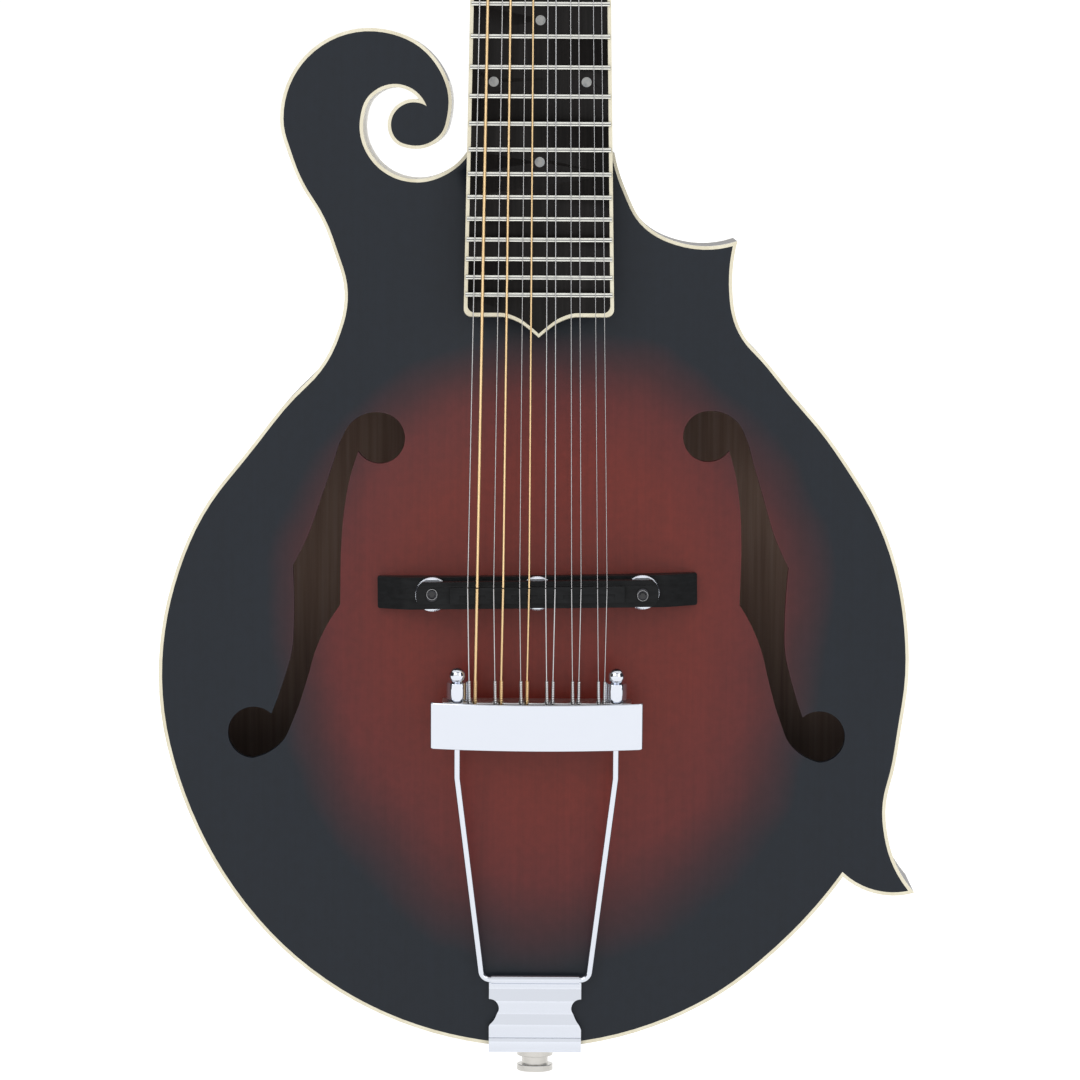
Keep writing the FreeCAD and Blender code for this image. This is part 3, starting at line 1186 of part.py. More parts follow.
def strap_button():
    """A jack through the tail block, turned outside as a strap button: collar, flange, neck, flange."""
    face = -PIECE_GAP - HANGER_WALL
    end = face - BUTTON_REACH

    def disc(z_low, z_high, radius):
        return rod(Vector(0, JACK_Y, z_low), Vector(0, JACK_Y, z_high), radius)

    body = disc(face, JACK_LENGTH - 2, JACK_RADIUS)
    inner = face - BUTTON_COLLAR[1]
    pieces = [disc(inner, face, BUTTON_COLLAR[0]), disc(inner - FLANGES[0], inner, BUTTON_FLANGE),
              disc(end, inner, BUTTON_NECK), disc(end, end + FLANGES[1], BUTTON_FLANGE)]
    shape = body.fuse(pieces).removeSplitter()
    return shape.cut(disc(end - 1, JACK_LENGTH - 4, JACK_BORE))


# ---- The strings -------------------------------------------------------------------------------
def string_x(index, course_spacing, pair_spacing):
    course = index // 2
    middle = (course - (COURSES - 1) / 2) * course_spacing
    return middle + (pair_spacing / 2 if index % 2 else -pair_spacing / 2)


def string_points(index):
    """A string's three turning points: saddle, nut and post."""
    radius = STRING_DIAMETERS[index] / 2
    bearing = SADDLE_TOP + radius + CONTACT_GAP
    saddle = Vector(string_x(index, COURSE_AT_SADDLE, PAIR_AT_SADDLE), -bearing, SADDLE_Z)
    nut_x = string_x(index, COURSE_AT_NUT, PAIR_AT_NUT)
    over_nut = Vector(nut_x, -STRING_OVER_NUT, SCALE_LENGTH + NUT_BEARING)
    side = -1 if index < COURSES else 1
    order = index if index < COURSES else 2 * COURSES - 1 - index
    z = TUNER_FIRST + TUNER_PITCH * order
    x = side * (POST_X - POST_RADIUS - radius)
    post = Vector(x, -VENEER - POST_TOP + POST_HOLE[0], z)
    return saddle, NECK_FRAME.multVec(over_nut), HEAD_FRAME.multVec(post)


def playing_strings(chosen):
    strings = []
    for index in chosen:
        radius = STRING_DIAMETERS[index] / 2
        saddle, over_nut, post = string_points(index)
        bend = [Part.makeSphere(radius, over_nut), rod(over_nut, post, radius)]
        strings.append(rod(saddle, over_nut, radius).fuse(bend))
    return Part.makeCompound(strings)


def string_tails():
    """The strings behind the saddle, down to their slots in the bar."""
    tails = []
    for index, diameter in enumerate(STRING_DIAMETERS):
        saddle = string_points(index)[0]
        slot = Vector(string_x(index, COURSE_AT_SADDLE, PAIR_AT_BAR), 0, tail_z(STRING_BAR_Z[1]) - 8)
        anchor = TAIL_FRAME.multVec(slot)
        way = anchor - saddle
        start = saddle + way * (PIECE_GAP / way.Length)
        tails.append(rod(start, anchor, diameter / 2))
    return Part.makeCompound(tails)


# ---- Every node --------------------------------------------------------------------------------
def nodes():
    plain = [i for i in range(2 * COURSES) if i not in WOUND]
    made = {
        "top_plate": top_plate, "back_plate": back_plate, "ribs": ribs, "linings": linings,
        "neck_block": neck_block, "end_blocks": end_blocks, "tone_bars": tone_bars,
        "top_binding": lambda: edge_binding(-TOP_EDGE, 0),
        "back_binding": lambda: edge_binding(RIB_DEPTH, RIB_DEPTH + BACK_EDGE),
        "neck": neck, "heel_cap": heel_cap, "truss_rod": truss_rod, "fretboard": fretboard,
        "neck_binding": neck_binding, "frets": frets,
        "position_dots": lambda: Part.makeCompound([in_neck(d) for d in dots()]),
        "nut": nut, "headstock_veneer": headstock_veneer, "truss_rod_cover": truss_rod_cover,
        "cover_screws": cover_screws, "tuner_housings": tuner_housings,
        "bridge_base": bridge_base, "bridge_saddle": bridge_saddle, "bridge_posts": bridge_posts,
        "thumbwheel_bass": lambda: thumbwheel(0), "thumbwheel_middle": lambda: thumbwheel(1),
        "thumbwheel_treble": lambda: thumbwheel(2),
        "tailpiece_hanger": tailpiece_hanger, "trapeze_rods": trapeze_rods, "string_bar": string_bar,
        "tailpiece_cover": tailpiece_cover, "acorn_nuts": acorn_nuts, "strap_button": strap_button,
        "plain_strings": lambda: playing_strings(plain), "wound_strings": lambda: playing_strings(WOUND),
        "string_tails": string_tails,
    }
    for number, side, z in tuner_places():
        made[f"tuner_post_{number:02d}"] = lambda side=side, z=z: tuner_post(side, z)
        made[f"tuner_button_{number:02d}"] = lambda side=side, z=z: tuner_button(side, z)
    return made


def write_all():
    os.makedirs("parts", exist_ok=True)
    for name, make in nodes().items():
        shape = make()
        good = shape.isValid()
        print(name, len(shape.Solids), "solids", round(shape.Volume, 1), "mm3", "" if good else "NOT VALID")
        shape.exportStep(f"parts/{name}.step")


write_all()
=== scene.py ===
"""The looks of a twelve-string mandolin, built on its CAD frame: lacquer, binding, chrome and strings.

Everything is in metres in the frame's own axes: +Z up the neck, the carved top faces -Y,
+X to the treble side.
"""
import bmesh
import bpy
import json
import math
import numpy as np
from mathutils import Matrix, Vector


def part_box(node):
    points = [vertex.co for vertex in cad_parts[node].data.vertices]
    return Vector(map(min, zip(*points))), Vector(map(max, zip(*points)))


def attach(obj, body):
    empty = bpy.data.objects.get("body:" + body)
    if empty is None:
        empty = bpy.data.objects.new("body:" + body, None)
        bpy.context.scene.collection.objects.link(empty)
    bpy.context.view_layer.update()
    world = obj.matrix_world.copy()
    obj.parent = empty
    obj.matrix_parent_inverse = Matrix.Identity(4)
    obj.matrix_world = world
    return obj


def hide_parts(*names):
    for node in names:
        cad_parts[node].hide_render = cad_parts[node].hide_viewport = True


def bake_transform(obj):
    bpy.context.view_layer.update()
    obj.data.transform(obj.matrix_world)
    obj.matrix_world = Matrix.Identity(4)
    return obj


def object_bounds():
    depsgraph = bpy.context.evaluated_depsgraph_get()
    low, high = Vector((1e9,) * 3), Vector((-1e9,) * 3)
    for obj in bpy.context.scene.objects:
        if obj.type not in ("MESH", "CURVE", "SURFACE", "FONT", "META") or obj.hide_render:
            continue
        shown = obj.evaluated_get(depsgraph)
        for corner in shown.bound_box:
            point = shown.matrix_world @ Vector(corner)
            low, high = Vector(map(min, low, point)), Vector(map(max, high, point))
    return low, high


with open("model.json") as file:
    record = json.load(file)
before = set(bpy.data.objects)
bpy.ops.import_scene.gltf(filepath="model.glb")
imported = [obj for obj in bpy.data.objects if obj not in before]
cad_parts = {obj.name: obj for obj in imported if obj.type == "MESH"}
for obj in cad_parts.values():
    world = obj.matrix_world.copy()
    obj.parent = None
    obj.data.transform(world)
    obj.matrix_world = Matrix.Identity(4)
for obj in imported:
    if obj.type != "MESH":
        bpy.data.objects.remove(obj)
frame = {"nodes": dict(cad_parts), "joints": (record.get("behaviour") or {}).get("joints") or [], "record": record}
CAD_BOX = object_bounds()
NODES = frame["nodes"]
RECORD = frame["record"]
JOINTS = {joint["name"]: joint for joint in frame["joints"]}
BODY_OF = {node: body for body, members in RECORD["behaviour"]["bodies"].items() for node in members}
SLOT_OF = {part["node"]: part["material_slot"] for part in RECORD["subparts"]}
MM = 0.001


# ---- Camera, light and floor -------------------------------------------------------------------
CAMERA_PLACE = Vector((0.0, -2.0, 0.3466))
CAMERA_TARGET = Vector((0.0006, 0.0, 0.2327))
CAMERA_LENS = 183.7
CAMERA_SHIFT = -0.12        # moves the view's middle below the line of sight
CAMERA_ROLL = math.radians(0.32)
FLOOR_SIZE = 60.0
FLOOR_CLEARANCE = 0.0004


def make_camera():
    data = bpy.data.cameras.new("camera")
    data.lens = CAMERA_LENS
    data.sensor_width = 36.0
    data.shift_y = CAMERA_SHIFT
    data.clip_end = 200.0
    camera = bpy.data.objects.new("camera", data)
    bpy.context.scene.collection.objects.link(camera)
    way = CAMERA_TARGET - CAMERA_PLACE
    turn = way.to_track_quat("-Z", "Y").to_matrix().to_4x4() @ Matrix.Rotation(CAMERA_ROLL, 4, "Z")
    camera.matrix_world = Matrix.Translation(CAMERA_PLACE) @ turn
    bpy.context.scene.camera = camera


def area_light(name, place, target, size, power, colour=(1, 1, 1)):
    data = bpy.data.lights.new(name, "AREA")
    data.shape = "RECTANGLE"
    data.size, data.size_y = size
    data.energy = power
    data.color = colour
    light = bpy.data.objects.new(name, data)
    bpy.context.scene.collection.objects.link(light)
    place, target = Vector(place), Vector(target)
    turn = (target - place).to_track_quat("-Z", "Y").to_matrix().to_4x4()
    light.matrix_world = Matrix.Translation(place) @ turn


# ---- Shader expressions ------------------------------------------------------------------------
class Value:
    """An output socket in a material; arithmetic on it adds Math nodes."""

    def __init__(self, finish, socket):
        self.finish, self.socket = finish, socket

    def math(self, operation, *others):
        return self.finish.node("ShaderNodeMath", {"operation": operation}, [self, *others])

    def __add__(self, other):
        return self.math("ADD", other)

    def __mul__(self, other):
        return self.math("MULTIPLY", other)

    def __sub__(self, other):
        return self.math("SUBTRACT", other)

    def __truediv__(self, other):
        return self.math("DIVIDE", other)

    def __pow__(self, other):
        return self.math("POWER", other)

    def __rsub__(self, other):
        return self.finish.node("ShaderNodeMath", {"operation": "SUBTRACT"}, [other, self])

    __radd__, __rmul__ = __add__, __mul__

    def sin(self):
        return self.math("SINE")


class Finish:
    """A material under construction: a Principled shader and one method that adds any other node."""

    def __init__(self, name, colour, roughness, **values):
        self.material = bpy.data.materials.new(name)
        self.material.use_nodes = True
        self.tree = self.material.node_tree
        self.shader = self.tree.nodes["Principled BSDF"]
        self.shader.inputs["Base Color"].default_value = (*colour, 1.0)
        self.shader.inputs["Roughness"].default_value = roughness
        for key, value in values.items():
            self.shader.inputs[key.replace("_", " ")].default_value = value
        self.material.diffuse_color = (*colour, 1.0)

    def node(self, kind, settings, inputs, output=0):
        """A node of a kind: its settings first, then its sockets by position or by name."""
        made = self.tree.nodes.new(kind)
        for key, value in settings.items():
            setattr(made, key, value)
        pairs = inputs.items() if isinstance(inputs, dict) else enumerate(inputs)
        for key, value in pairs:
            if isinstance(value, Value):
                self.tree.links.new(value.socket, made.inputs[key])
            elif value is not None:
                made.inputs[key].default_value = value
        return Value(self, made.outputs[output])

    def place(self):
        """The position on the object, in metres in the frame."""
        return self.node("ShaderNodeTexCoord", {}, [], output="Object")

    def axes(self, vector=None):
        split = self.node("ShaderNodeSeparateXYZ", {}, [vector or self.place()])
        outputs = split.socket.node.outputs
        return [Value(self, outputs[i]) for i in range(3)]

    def stretched(self, scale, vector=None):
        return self.node("ShaderNodeMapping", {}, {"Vector": vector or self.place(), "Scale": scale})

    def noise(self, vector, scale, detail=3.0, roughness=0.55, output=0):
        return self.node("ShaderNodeTexNoise", {}, {"Vector": vector, "Scale": scale, "Detail": detail,
                                                    "Roughness": roughness}, output)

    def ramp(self, factor, stops):
        """A colour ramp with (position, colour) stops; a number stands for a grey."""
        made = self.tree.nodes.new("ShaderNodeValToRGB")
        elements = made.color_ramp.elements
        while len(elements) < len(stops):
            elements.new(0.5)
        for element, (position, colour) in zip(elements, stops):
            element.position = position
            element.color = (*colour, 1) if isinstance(colour, tuple) else (colour, colour, colour, 1)
        self.tree.links.new(factor.socket, made.inputs[0])
        return Value(self, made.outputs[0])

    def mix(self, factor, a, b, blend="MIX"):
        """Colour a turned towards colour b by a factor."""
        made = self.tree.nodes.new("ShaderNodeMix")
        made.data_type = "RGBA"
        made.blend_type = blend
        for index, value in ((0, factor), (6, a), (7, b)):
            if isinstance(value, Value):
                self.tree.links.new(value.socket, made.inputs[index])
            else:
                made.inputs[index].default_value = (*value, 1.0) if isinstance(value, tuple) else value
        return Value(self, made.outputs[2])

    def set(self, **values):
        for key, value in values.items():
            self.tree.links.new(value.socket, self.shader.inputs[key.replace("_", " ")])
        return self

    def bump(self, height, distance, strength=1.0):
        self.set(Normal=self.node("ShaderNodeBump", {}, {"Height": height, "Distance": distance,
                                                         "Strength": strength}))
        return self


# ---- Finishes ----------------------------------------------------------------------------------
BURST_CENTRE = (0.004, 0.166)       # x and z of the middle of the sunburst
BURST_REACH = (0.107, 0.100, 0.143)  # half width, half length upwards, half length downwards
LACQUER_SHEEN = 0.28
WOOD_SHEEN = 0.11


def scuffs(finish, base, spread, scale=90.0):
    """Roughness that wanders a little over a handled surface."""
    cloud = finish.noise(finish.place(), scale, 4.0, 0.6)
    return finish.set(Roughness=cloud * spread + (base - spread / 2))


def burst_lacquer():
    """Spruce under satin lacquer: a red-brown glow that darkens to blue-black, with fine upright grain."""
    f = Finish("burst_lacquer", (0.008, 0.012, 0.018), 0.42, Specular_IOR_Level=LACQUER_SHEEN)
    x, _, z = f.axes()
    side = (x - BURST_CENTRE[0]) / BURST_REACH[0]
    rise = z - BURST_CENTRE[1]
    up = rise.math("MAXIMUM", 0.0) / BURST_REACH[1]
    down = rise.math("MINIMUM", 0.0) / BURST_REACH[2]
    reach = (side * side + up * up + down * down) ** 0.5
    cloud = f.noise(f.place(), 18.0, 3.0, 0.55)
    reach = reach + (cloud - 0.5) * 0.16
    glow = f.ramp(reach, [(0.0, (0.125, 0.014, 0.008)), (0.50, (0.120, 0.014, 0.009)),
                          (0.72, (0.088, 0.012, 0.011)),
                          (0.86, (0.034, 0.009, 0.012)), (0.97, (0.005, 0.0085, 0.0145))])
    grain = f.noise(f.stretched((700.0, 60.0, 14.0)), 1.0, 3.0, 0.6)
    blotch = f.noise(f.place(), 340.0, 3.0, 0.6)
    lines = f.ramp(grain * 0.45 + blotch * 0.55, [(0.34, 0.80), (0.64, 1.08)])
    f.set(Base_Color=f.mix(0.8, glow, lines, "MULTIPLY"))
    scuffs(f, 0.40, 0.08)
    return f.bump(grain, 0.00002, 0.3).material


def dark_lacquer():
    """Maple stained almost black under the same lacquer, a trace of red where the light catches it."""
    f = Finish("dark_lacquer", (0.012, 0.007, 0.007), 0.32, Specular_IOR_Level=LACQUER_SHEEN)
    flame = f.noise(f.stretched((12.0, 160.0, 14.0)), 1.0, 2.0, 0.5)
    figure = f.noise(f.stretched((260.0, 260.0, 22.0)), 1.0, 3.0, 0.6)
    shade = f.ramp(flame * 0.6 + figure * 0.4, [(0.35, (0.007, 0.005, 0.006)), (0.65, (0.024, 0.010, 0.009))])
    f.set(Base_Color=shade)
    scuffs(f, 0.33, 0.10)
    return f.bump(figure, 0.00003, 0.3).material


PAINTED_SHADE_BELOW, PAINTED_SHADE_RUN = 0.108, 0.060      # painted shade: the inside is darkened towards the tail


def bare_wood():
    """The unlacquered inside: brown, with grain and darker streaks up the body, and painted shade towards the
    tail.
    """
    f = Finish("bare_wood", (0.34, 0.22, 0.16), 0.75)
    grain = f.noise(f.stretched((420.0, 120.0, 9.0)), 1.0, 4.0, 0.6)
    wood = f.ramp(grain, [(0.3, (0.26, 0.16, 0.12)), (0.52, (0.36, 0.235, 0.18)), (0.7, (0.42, 0.29, 0.23))])
    _, _, height = f.axes()
    # painted shade: the wood darkens below a given height, towards the tail
    shade = f.ramp((height - PAINTED_SHADE_BELOW) / PAINTED_SHADE_RUN, [(0.0, 0.28), (1.0, 1.0)])
    f.set(Base_Color=f.mix(1.0, wood, shade, "MULTIPLY"))
    return f.bump(grain, 0.0001, 0.5).material


def ivory():
    """Aged ivory-coloured binding with faint lengthwise streaks."""
    f = Finish("ivory", (0.80, 0.70, 0.46), 0.32, Coat_Weight=0.2, Coat_Roughness=0.15)
    streak = f.noise(f.stretched((220.0, 60.0, 40.0)), 1.0, 3.0, 0.55)
    f.set(Base_Color=f.ramp(streak, [(0.3, (0.60, 0.55, 0.41)), (0.7, (0.70, 0.66, 0.52))]))
    return scuffs(f, 0.32, 0.12).material


def dark_wood(name, tone, roughness, grain_scale=(1100.0, 400.0, 26.0)):
    """Close-grained black or brown wood with open pores that run up the neck."""
    f = Finish(name, tone, roughness, Specular_IOR_Level=WOOD_SHEEN)
    pores = f.noise(f.stretched(grain_scale), 1.0, 4.0, 0.65)
    clouds = f.noise(f.stretched((60.0, 60.0, 12.0)), 1.0, 2.0, 0.5)
    dark = tuple(c * 0.55 for c in tone)
    light = tuple(min(c * 1.6, 1.0) for c in tone)
    f.set(Base_Color=f.ramp(pores * 0.65 + clouds * 0.35, [(0.34, dark), (0.66, light)]))
    scuffs(f, roughness, 0.14, 140.0)
    return f.bump(pores, 0.00006, 0.5).material


def metal(name, tone, roughness, spread=0.06, brushed=None, wear=0.12):
    """Plated or drawn metal: a slight tint, wandering polish and, where given, fine brush lines."""
    f = Finish(name, tone, roughness, Metallic=1.0)
    scale = brushed or (70.0, 70.0, 70.0)
    cloud = f.noise(f.stretched(scale), 1.0, 4.0, 0.6)
    f.set(Roughness=cloud * spread + (roughness - spread / 2))
    dull = tuple(c * (1.0 - wear) for c in tone)
    f.set(Base_Color=f.ramp(cloud, [(0.3, dull), (0.7, tone)]))
    if brushed:
        f.bump(cloud, 0.00001, 0.35)
    return f.material


def pearl():
    f = Finish("pearl", (0.24, 0.245, 0.25), 0.25, Specular_IOR_Level=0.4)
    sheen = f.noise(f.stretched((420.0, 420.0, 260.0)), 1.0, 3.0, 0.6)
    f.set(Base_Color=f.ramp(sheen, [(0.3, (0.17, 0.18, 0.19)), (0.55, (0.28, 0.28, 0.27)),
                                    (0.75, (0.22, 0.24, 0.26))]))
    return f.material


def bone():
    f = Finish("bone", (0.80, 0.74, 0.58), 0.36)
    fleck = f.noise(f.stretched((500.0, 900.0, 500.0)), 1.0, 3.0, 0.6)
    f.set(Base_Color=f.ramp(fleck, [(0.3, (0.70, 0.63, 0.47)), (0.7, (0.84, 0.79, 0.65))]))
    return scuffs(f, 0.36, 0.1, 200.0).material


def black_plastic():
    f = Finish("black_plastic", (0.008, 0.008, 0.009), 0.16)
    haze = f.noise(f.place(), 300.0, 3.0, 0.6)
    f.set(Base_Color=f.ramp(haze, [(0.3, (0.006, 0.006, 0.007)), (0.7, (0.012, 0.012, 0.013))]))
    return scuffs(f, 0.16, 0.08, 260.0).material


def fret_wire():
    """Nickel silver with a painted reflection: bright on the flanks of the crown, a painted dark line along its
    top and at its foot.
    """
    f = Finish("fret_wire", (0.62, 0.62, 0.60), 0.22, Metallic=1.0)
    flank = f.node("ShaderNodeAttribute", {"attribute_name": "flank"}, [], output="Fac")
    scratch = f.noise(f.stretched((900.0, 60.0, 60.0)), 1.0, 3.0, 0.6)
    # painted reflection: the colour is dark along each crown's top and foot and bright on its flanks
    f.set(Base_Color=f.ramp(flank, [(0.14, (0.12, 0.12, 0.12)), (0.30, (0.86, 0.86, 0.80)),
                                    (0.86, (0.80, 0.80, 0.75)),
                                    (0.98, (0.16, 0.16, 0.15))]))
    return f.set(Roughness=scratch * 0.1 + 0.18).material


def winding():
    """Bronze wrap wire: fine rings across the string."""
    f = Finish("wrap", (0.62, 0.40, 0.16), 0.30, Metallic=1.0)
    _, _, z = f.axes()
    rings = (z * (2 * math.pi / 0.00028)).sin() * 0.5 + 0.5
    tone = f.noise(f.place(), 60.0, 2.0, 0.5)
    f.set(Base_Color=f.mix(tone * 0.6, (0.80, 0.58, 0.32), (0.64, 0.44, 0.21)), Roughness=tone * 0.12 + 0.24)
    return f.bump(rings, 0.00005, 0.6).material


FINISHES = {
    "spruce": burst_lacquer(), "maple": dark_lacquer(), "inner_wood": bare_wood(), "ivory_binding": ivory(),
    "ebony": dark_wood("fingerboard_wood", (0.0070, 0.0062, 0.0060), 0.50),
    "steel": metal("plain_steel", (0.50, 0.50, 0.51), 0.34),
    "nickel_silver": fret_wire(),
    "pearl": pearl(), "bone": bone(), "black_plastic": black_plastic(),
    "screw_nickel": metal("screw_nickel", (0.72, 0.70, 0.66), 0.22),
    "chrome": metal("chrome", (0.66, 0.69, 0.755), 0.06, 0.03, wear=0.01),
    "post_steel": metal("turned_steel", (0.62, 0.62, 0.62), 0.28, 0.08, (300.0, 1200.0, 300.0)),
    "nickel": metal("dull_nickel", (0.66, 0.64, 0.60), 0.24, 0.10),
    "plain_string": metal("drawn_wire", (0.55, 0.55, 0.56), 0.22, 0.05),
    "wound_string": winding(),
}
BRIDGE_WOOD = dark_wood("bridge_wood", (0.0068, 0.0072, 0.0078), 0.38, (160.0, 300.0, 700.0))
POST_BLACK = metal("blacked_steel", (0.045, 0.045, 0.05), 0.30)


# ---- Making and placing pieces -----------------------------------------------------------------
def settle(piece, slot, body, material, *nodes):
    """A finished piece takes its finish and body, and stands for its CAD nodes."""
    piece.data.materials.clear()
    piece.data.materials.append(material or FINISHES[slot])
    if nodes:
        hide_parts(*nodes)
    if body:
        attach(piece, body)
    return piece


def object_of(name, mesh):
    piece = bpy.data.objects.new(name, mesh)
    bpy.context.scene.collection.objects.link(piece)
    return piece


def merged_copy(node, crease):
    """The CAD node's mesh with its doubles merged, smooth-shaded up to a crease angle in degrees."""
    mesh = NODES[node].data.copy()
    mesh.name = node + "_finished"
    work = bmesh.new()
    work.from_mesh(mesh)
    bmesh.ops.remove_doubles(work, verts=work.verts, dist=2e-6)
    bmesh.ops.dissolve_limit(work, angle_limit=math.radians(0.4), verts=work.verts, edges=work.edges,
                             delimit={"NORMAL"})
    work.to_mesh(mesh)
    work.free()
    mesh.polygons.foreach_set("use_smooth", [True] * len(mesh.polygons))
    mesh.set_sharp_from_angle(angle=math.radians(crease))
    return mesh


def faces_of(mesh):
    """Middles and normals of a mesh's faces, as arrays."""
    middles = np.empty(len(mesh.polygons) * 3)
    normals = np.empty(len(mesh.polygons) * 3)
    mesh.polygons.foreach_get("center", middles)
    mesh.polygons.foreach_get("normal", normals)
    return middles.reshape(-1, 3), normals.reshape(-1, 3)


def second_finish(piece, material, chosen):
    """The chosen faces of a piece take another material."""
    piece.data.materials.append(material)
    piece.data.polygons.foreach_set("material_index", chosen.astype(np.int32))
    piece.data.update()


def islands(mesh, axis=0):
    """The number of the connected part that each vertex belongs to, parts counted along an axis."""
    part = np.arange(len(mesh.vertices))
    pairs = np.empty(len(mesh.edges) * 2, np.int32)
    mesh.edges.foreach_get("vertices", pairs)
    pairs = pairs.reshape(-1, 2)
    while True:
        low = np.minimum(part[pairs[:, 0]], part[pairs[:, 1]])
        fresh = part.copy()
        np.minimum.at(fresh, pairs[:, 0], low)
        np.minimum.at(fresh, pairs[:, 1], low)
        fresh = fresh[fresh]
        if (fresh == part).all():
            break
        part = fresh
    names, numbers = np.unique(part, return_inverse=True)
    middles = [corners_of(mesh)[numbers == k, axis].mean() for k in range(len(names))]
    return np.argsort(np.argsort(middles))[numbers]


def corners_of(mesh):
    corners = np.empty(len(mesh.vertices) * 3)
    mesh.vertices.foreach_get("co", corners)
    return corners.reshape(-1, 3)


def first_corners(mesh):
    """The first vertex of every face."""
    starts = np.empty(len(mesh.polygons), np.int32)
    loops = np.empty(len(mesh.loops), np.int32)
    mesh.polygons.foreach_get("loop_start", starts)
    mesh.loops.foreach_get("vertex_index", loops)
    return loops[starts]


def finished(node, crease=32.0, edge=0.0, material=None):
    """A CAD node's own shape, with clean shading and its edges eased by a small bevel."""
    piece = object_of(node + "_finished", merged_copy(node, crease))
    if edge:
        bevel = piece.modifiers.new("edge", "BEVEL")
        bevel.width = edge
        bevel.segments = 2
        bevel.limit_method = "ANGLE"
        bevel.angle_limit = math.radians(crease)
        bevel.use_clamp_overlap = True
        bevel.harden_normals = False
    return settle(piece, SLOT_OF[node], BODY_OF[node], material, node)


# ---- Assembly ----------------------------------------------------------------------------------
make_camera()

EASED = {"tailpiece_hanger": 0.0003, "string_bar": 0.0002,
         "bridge_base": 0.0004, "bridge_saddle": 0.00025, "nut": 0.0003, "heel_cap": 0.0003,
         "truss_rod_cover": 0.0002, "strap_button": 0.0003}
OWN_FINISH = {"bridge_base": BRIDGE_WOOD, "bridge_saddle": BRIDGE_WOOD, "bridge_posts": POST_BLACK}
BLENDED = ("plain_strings", "wound_strings")
OWN_SHAPES = ("tailpiece_cover", "acorn_nuts", "thumbwheel_bass", "thumbwheel_middle", "thumbwheel_treble")
for name in sorted(NODES):
    if name not in BLENDED + OWN_SHAPES:
        finished(name, edge=EASED.get(name, 0.0), material=OWN_FINISH.get(name))


# ---- Strings -----------------------------------------------------------------------------------
SADDLE_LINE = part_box("plain_strings")[0][2]
WOUND_TAILS = (1, 3, 5)


def playing_strings():
    """Each string's CAD shape, merged, smooth-shaded and fixed in place."""
    for node in BLENDED:
        piece = object_of(node + "_finished", merged_copy(node, 60.0))
        settle(piece, SLOT_OF[node], None, None, node)
        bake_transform(piece)


def bronze_tails():
    piece = bpy.data.objects["string_tails_finished"]
    part = islands(piece.data)
    second_finish(piece, FINISHES["wound_string"], np.isin(part[first_corners(piece.data)], WOUND_TAILS))


playing_strings()
bronze_tails()


# ---- Inside and edges of the body --------------------------------------------------------------
CHANNEL_BOX = ((-0.0665, -0.0285), (0.300, 0.352))


def inside_back():
    """The back's inner face is bare wood; it shows through the f-holes."""
    piece = bpy.data.objects["back_plate_finished"]
    _, normals = faces_of(piece.data)
    second_finish(piece, FINISHES["inner_wood"], normals[:, 1] < -0.3)


def bound_channel():
    """The walls of the scroll's channel carry the binding's ivory."""
    piece = bpy.data.objects["ribs_finished"]
    middles, normals = faces_of(piece.data)
    inside = np.abs(normals[:, 1]) < 0.3
    for axis, (low, high) in zip((0, 2), CHANNEL_BOX):
        inside &= (middles[:, axis] > low) & (middles[:, axis] < high)
    second_finish(piece, FINISHES["ivory_binding"], inside)


inside_back()
bound_channel()


# ---- The carved plates' true curvature ---------------------------------------------------------
ARCH_CENTRE_Z, ARCH_UP, ARCH_DOWN = 0.165, 0.158, 0.154
ARCH_WIDE_Z, ARCH_WAIST_Z, ARCH_TAIL_RUN = 0.141, 0.273, 0.150
ARCH_HALF_WIDTH, ARCH_HALF_WAIST = 0.122, 0.060
PLATES = {"top_plate": (-1, 0.0117), "back_plate": (1, 0.0094)}     # side, rise of the outer face


def swell(t):
    """One at zero, falling on a cosine to nothing at one and beyond."""
    return (1 + np.cos(np.pi * np.minimum(np.abs(t), 1.0))) / 2


def arch(x, z):
    """The share of the full rise: a lengthwise swell times a crosswise one whose width follows the body."""
    waist = 1 - swell(np.clip((z - ARCH_WIDE_Z) / (ARCH_WAIST_Z - ARCH_WIDE_Z), 0, 1))
    tail = np.sqrt(np.maximum(1 - (np.maximum(ARCH_WIDE_Z - z, 0) / ARCH_TAIL_RUN) ** 2, 0.02))
    half = (ARCH_HALF_WIDTH - (ARCH_HALF_WIDTH - ARCH_HALF_WAIST) * waist) * tail
    reach = np.where(z > ARCH_CENTRE_Z, ARCH_UP, ARCH_DOWN)
    return swell((z - ARCH_CENTRE_Z) / reach) * swell(x / half)


def carved_shading(node):
    """Shade a plate's outer face with its formula's slope, its inner face with the reverse, the rest flat."""
    mesh = bpy.data.objects[node + "_finished"].data
    side, rise = PLATES[node]
    corners = corners_of(mesh)
    x, z = corners[:, 0], corners[:, 2]
    step = 0.0005
    slope_x = rise * (arch(x + step, z) - arch(x - step, z)) / (2 * step)
    slope_z = rise * (arch(x, z + step) - arch(x, z - step)) / (2 * step)
    smooth = np.stack([-slope_x, np.full(len(x), float(side)), -slope_z], 1)
    smooth /= np.linalg.norm(smooth, axis=1)[:, None]
    sizes = np.empty(len(mesh.polygons), np.int32)
    loops = np.empty(len(mesh.loops), np.int32)
    mesh.polygons.foreach_get("loop_total", sizes)
    mesh.loops.foreach_get("vertex_index", loops)
    _, faces = faces_of(mesh)
    by_loop = np.repeat(faces, sizes, axis=0)
    carved = (by_loop[:, 1] * side > 0.6) & ((by_loop * smooth[loops]).sum(1) > 0.9)
    inner = by_loop[:, 1] * side < -0.6
    normals = np.where(carved[:, None], smooth[loops], by_loop)
    normals = np.where(inner[:, None], -smooth[loops], normals)
    mesh.normals_split_custom_set(normals)


for plate in PLATES:
    carved_shading(plate)


